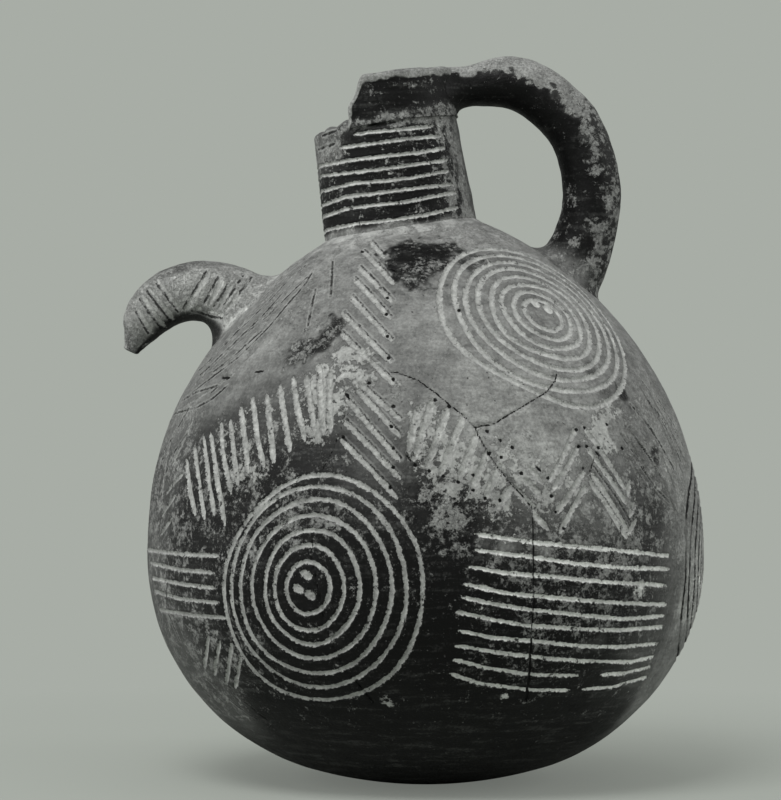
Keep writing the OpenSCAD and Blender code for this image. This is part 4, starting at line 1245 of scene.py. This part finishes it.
def make_horn():
    root = np.array([-HORN_X, 0, BELLY_Z + math.sqrt(TOP_R**2 - (HORN_X - TOP_X) ** 2)])
    centre = root - np.array([ARCH_W * math.cos(math.radians(45)), 0, ARCH_H * math.sin(math.radians(45))])
    share = np.linspace(0, 1, 200)
    turn = np.radians(25 + np.minimum(1, share / ARCH_SHARE) * (155 - 25))
    path = centre + np.stack([ARCH_W * np.cos(turn), 0 * turn, ARCH_H * np.sin(turn)], 1)
    last = np.array([-ARCH_W * math.sin(turn[-1]), 0, ARCH_H * math.cos(turn[-1])])
    last /= np.linalg.norm(last)
    path = path + HORN_END * np.maximum(0, share - ARCH_SHARE)[:, None] / (1 - ARCH_SHARE) * last
    taper = np.interp(share, *np.array(HORN_TAPER).T)
    taper = np.convolve(np.pad(taper, 4, mode="edge"), np.ones(9) / 9, "valid")
    radii = 3.2 + (12.5 - 3.2) * (taper - 0.26) / 0.74 + 4.5 * (1 - smooth(share * 2.5, 0, 1))
    v, out, a = tube(path, radii, HORN_SIDES, [(body_frame, 8.0, lambda c: 0.65 + 0.2 * c)])
    end, way = path[-1], last
    tip = []
    for b in np.linspace(0, math.pi / 2, 8)[1:]:
        r = 1.7 + (radii[-1] - 1.7) * math.cos(b)
        tip.append(end + way * 1.2 * math.sin(b) + r * out[-1])
    for d in (0.4, 1.2, 3, 5, 8):
        tip.append(end + way * (1.2 - d) + 1.5 * out[-1])
    v = np.concatenate([v, np.array(tip)])
    rows, cols = v.shape[:2]
    normal = np.concatenate([out, np.repeat(out[-1:], len(tip), 0)]).reshape(-1, 3)
    flat = v.reshape(-1, 3)
    seen = on_plane(project(folded(flat)))
    lines, scores = Lines(seen), Lines(seen)
    for k, px in enumerate(split(HORN_STROKES)):
        width, lime = (1.8, 0.66) if k < LONG_STROKES else (2.4, 0.74)
        lines.add(on_plane(px), width, 0, lime, seed=300 + k)
    for k, px in enumerate(split(HORN_SCORES)):
        scores.add(on_plane(px), 0.35, seed=330 + k)
    body = np.repeat(np.arange(rows) < len(share), cols)
    side = body & (np.abs(flat[:, 1]) > 0.8)
    lines.sd, scores.sd = np.where(side, lines.sd, FAR), np.where(side, scores.sd, FAR)
    h = 0.4 * noise(flat, 14.0, 111) + 0.2 * noise(flat, 5.0, 112) + 0.08 * noise(flat, 2.0, 113)
    ridge = hump(lines.sd, 0.4, 0.35) * (lines.sd < 3)
    h = h * body - 0.5 * (1 - smooth(lines.sd, -0.6, 0.25)) + 0.12 * ridge
    h = h - 0.3 * (1 - smooth(scores.sd, 0.0, 0.5))
    flat = flat + normal * h[:, None]
    flat, tris = close_ends(flat, rows, cols, path[0], end - way * 6.8)
    quads = grid_faces(rows, cols)[:, ::-1]
    normals = close_seam(vertex_normals(flat, quads, tris[:, ::-1]), rows, cols)
    s = np.append(np.repeat(np.append(share, np.ones(len(tip))), cols), [0, 1])
    face = np.append(np.cos(np.tile(a, rows)), [0, 0])
    mottle = noise(flat, 5.0, 114)
    # pale flanks, a mottled crown and end, and a dark underside of painted shade
    under, point = smooth(-face + 0.15 * mottle, 0.5, 0.85), smooth(s + 0.03 * mottle, 0.86, 0.97)
    crown = smooth(face + 0.2 * mottle, 0.5, 0.8) * hump(s, 0.52, 0.16)
    tone = 0.61 * (1 - 0.8 * under) * (1 - 0.36 * point) * (1 - 0.45 * crown) + 0.03 * mottle
    wear = 0.4 - 0.2 * under + 0.08 * point + 0.06 * crown + 0.1 * mottle
    # the bore in the horn's tip is painted near-black, painted shade inside it
    hole = np.append(~body & (np.repeat(np.arange(rows), cols) > len(share) + 7), [True, True])
    tone, wear = np.where(hole, 0.05, tone), np.where(hole, 0.0, wear)
    sd, lime = np.append(lines.sd, [FAR, FAR]), np.append(lines.lime, [LIME, LIME])
    score = np.append(scores.sd, [FAR, FAR])
    values = {"tone": tone, "wear": wear, "line": sd, "lime": lime, "score": score}
    uv = end_uv(rows, cols)
    fill = sd[quads].mean(1) < 0.25
    slot = "pale_worn_slip"
    piece("horn", flat, quads[~fill], tris[:, ::-1], normals, values, uv, slot, "horn_spout")
    name, node = "fill_horn_strokes", "lime_horn_strokes"
    piece(name, flat, quads[fill], NONE3, normals, values, uv, "lime_fill", node)


make_body()
make_base()
make_neck()
make_bead()
make_mouth()
make_handle()
make_horn()
for node in ("body_wall", "middle_sherd", "right_sherd"):
    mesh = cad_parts[node].data
    mesh.materials.clear()
    mesh.materials.append(CLAY)

# The stage, the light and the camera
BACK = (0.392, 0.418, 0.381)


def stage_plane(name, corners):
    """A plane that shows the backdrop's grey to the camera, and its own shading near the jug."""
    me = bpy.data.meshes.new(name)
    me.from_pydata(corners, [], [(0, 1, 2, 3)])
    ob = bpy.data.objects.new(name, me)
    bpy.context.scene.collection.objects.link(ob)
    mat = bpy.data.materials.new(name)
    mat.use_nodes = True
    tree = mat.node_tree
    tree.nodes.clear()
    out = tree.nodes.new("ShaderNodeOutputMaterial")
    soft = tree.nodes.new("ShaderNodeBsdfDiffuse")
    soft.inputs["Color"].default_value = (*BACK, 1)
    flat = tree.nodes.new("ShaderNodeEmission")
    flat.inputs["Color"].default_value = (*BACK, 1)
    path = tree.nodes.new("ShaderNodeLightPath")
    mix = tree.nodes.new("ShaderNodeMixShader")
    coord = tree.nodes.new("ShaderNodeTexCoord")
    length = tree.nodes.new("ShaderNodeVectorMath")
    length.operation = "LENGTH"
    tree.links.new(coord.outputs["Object"], length.inputs[0])
    fade = tree.nodes.new("ShaderNodeMapRange")
    for k, x in enumerate((0.1, 0.42, 0.35, 1.0)):
        fade.inputs[k + 1].default_value = x
    tree.links.new(length.outputs["Value"], fade.inputs[0])
    times = tree.nodes.new("ShaderNodeMath")
    times.operation = "MULTIPLY"
    tree.links.new(path.outputs["Is Camera Ray"], times.inputs[0])
    tree.links.new(fade.outputs[0], times.inputs[1])
    tree.links.new(times.outputs[0], mix.inputs[0])
    tree.links.new(soft.outputs[0], mix.inputs[1])
    tree.links.new(flat.outputs[0], mix.inputs[2])
    tree.links.new(mix.outputs[0], out.inputs[0])
    me.materials.append(mat)


stage_plane("floor", [(-4, -4, 0), (4, -4, 0), (4, 4, 0), (-4, 4, 0)])

world = bpy.data.worlds.new("studio")
bpy.context.scene.world = world
world.use_nodes = True
tree = world.node_tree
tree.nodes.clear()
out = tree.nodes.new("ShaderNodeOutputWorld")
dim = tree.nodes.new("ShaderNodeBackground")
dim.inputs["Color"].default_value = (0.98, 1.0, 0.97, 1)
dim.inputs["Strength"].default_value = 0.42
seen = tree.nodes.new("ShaderNodeBackground")
seen.inputs["Color"].default_value = (*BACK, 1)
path = tree.nodes.new("ShaderNodeLightPath")
mix = tree.nodes.new("ShaderNodeMixShader")
tree.links.new(path.outputs["Is Camera Ray"], mix.inputs[0])
tree.links.new(dim.outputs[0], mix.inputs[1])
tree.links.new(seen.outputs[0], mix.inputs[2])
tree.links.new(mix.outputs[0], out.inputs[0])


def lamp(name, place, target, size, watts):
    data = bpy.data.lights.new(name, "AREA")
    data.shape, data.size, data.size_y, data.energy = "RECTANGLE", size[0], size[1], watts
    ob = bpy.data.objects.new(name, data)
    bpy.context.scene.collection.objects.link(ob)
    ob.location = place
    way = np.array(target) - np.array(place)
    yaw = math.atan2(way[1], way[0])
    pitch = math.atan2(way[2], math.hypot(way[0], way[1]))
    ob.rotation_euler = (math.pi / 2 + pitch, 0, yaw - math.pi / 2)


lamp("key", (-0.35, -0.75, 1.15), (0, 0, 0.14), (0.6, 0.5), 11)
lamp("left", (-1.2, -0.25, 0.45), (0, 0, 0.12), (0.5, 0.9), 5)
lamp("right", (1.25, -0.1, 0.5), (0, 0, 0.12), (0.5, 0.9), 5)

cam = bpy.data.cameras.new("photo")
cam.sensor_fit, cam.sensor_height, cam.sensor_width = "VERTICAL", FILM, FILM * MID[0] / MID[1]
cam.lens = FILM / 2 / (MID[1] * PX / -CAM[1])
cam.clip_start, cam.clip_end = 0.05, 30
eye = bpy.data.objects.new("photo", cam)
bpy.context.scene.collection.objects.link(eye)
eye.location = CAM * MM
eye.rotation_euler = (math.pi / 2, 0, 0)
bpy.context.scene.camera = eye
bpy.context.scene.view_settings.view_transform = "Standard"
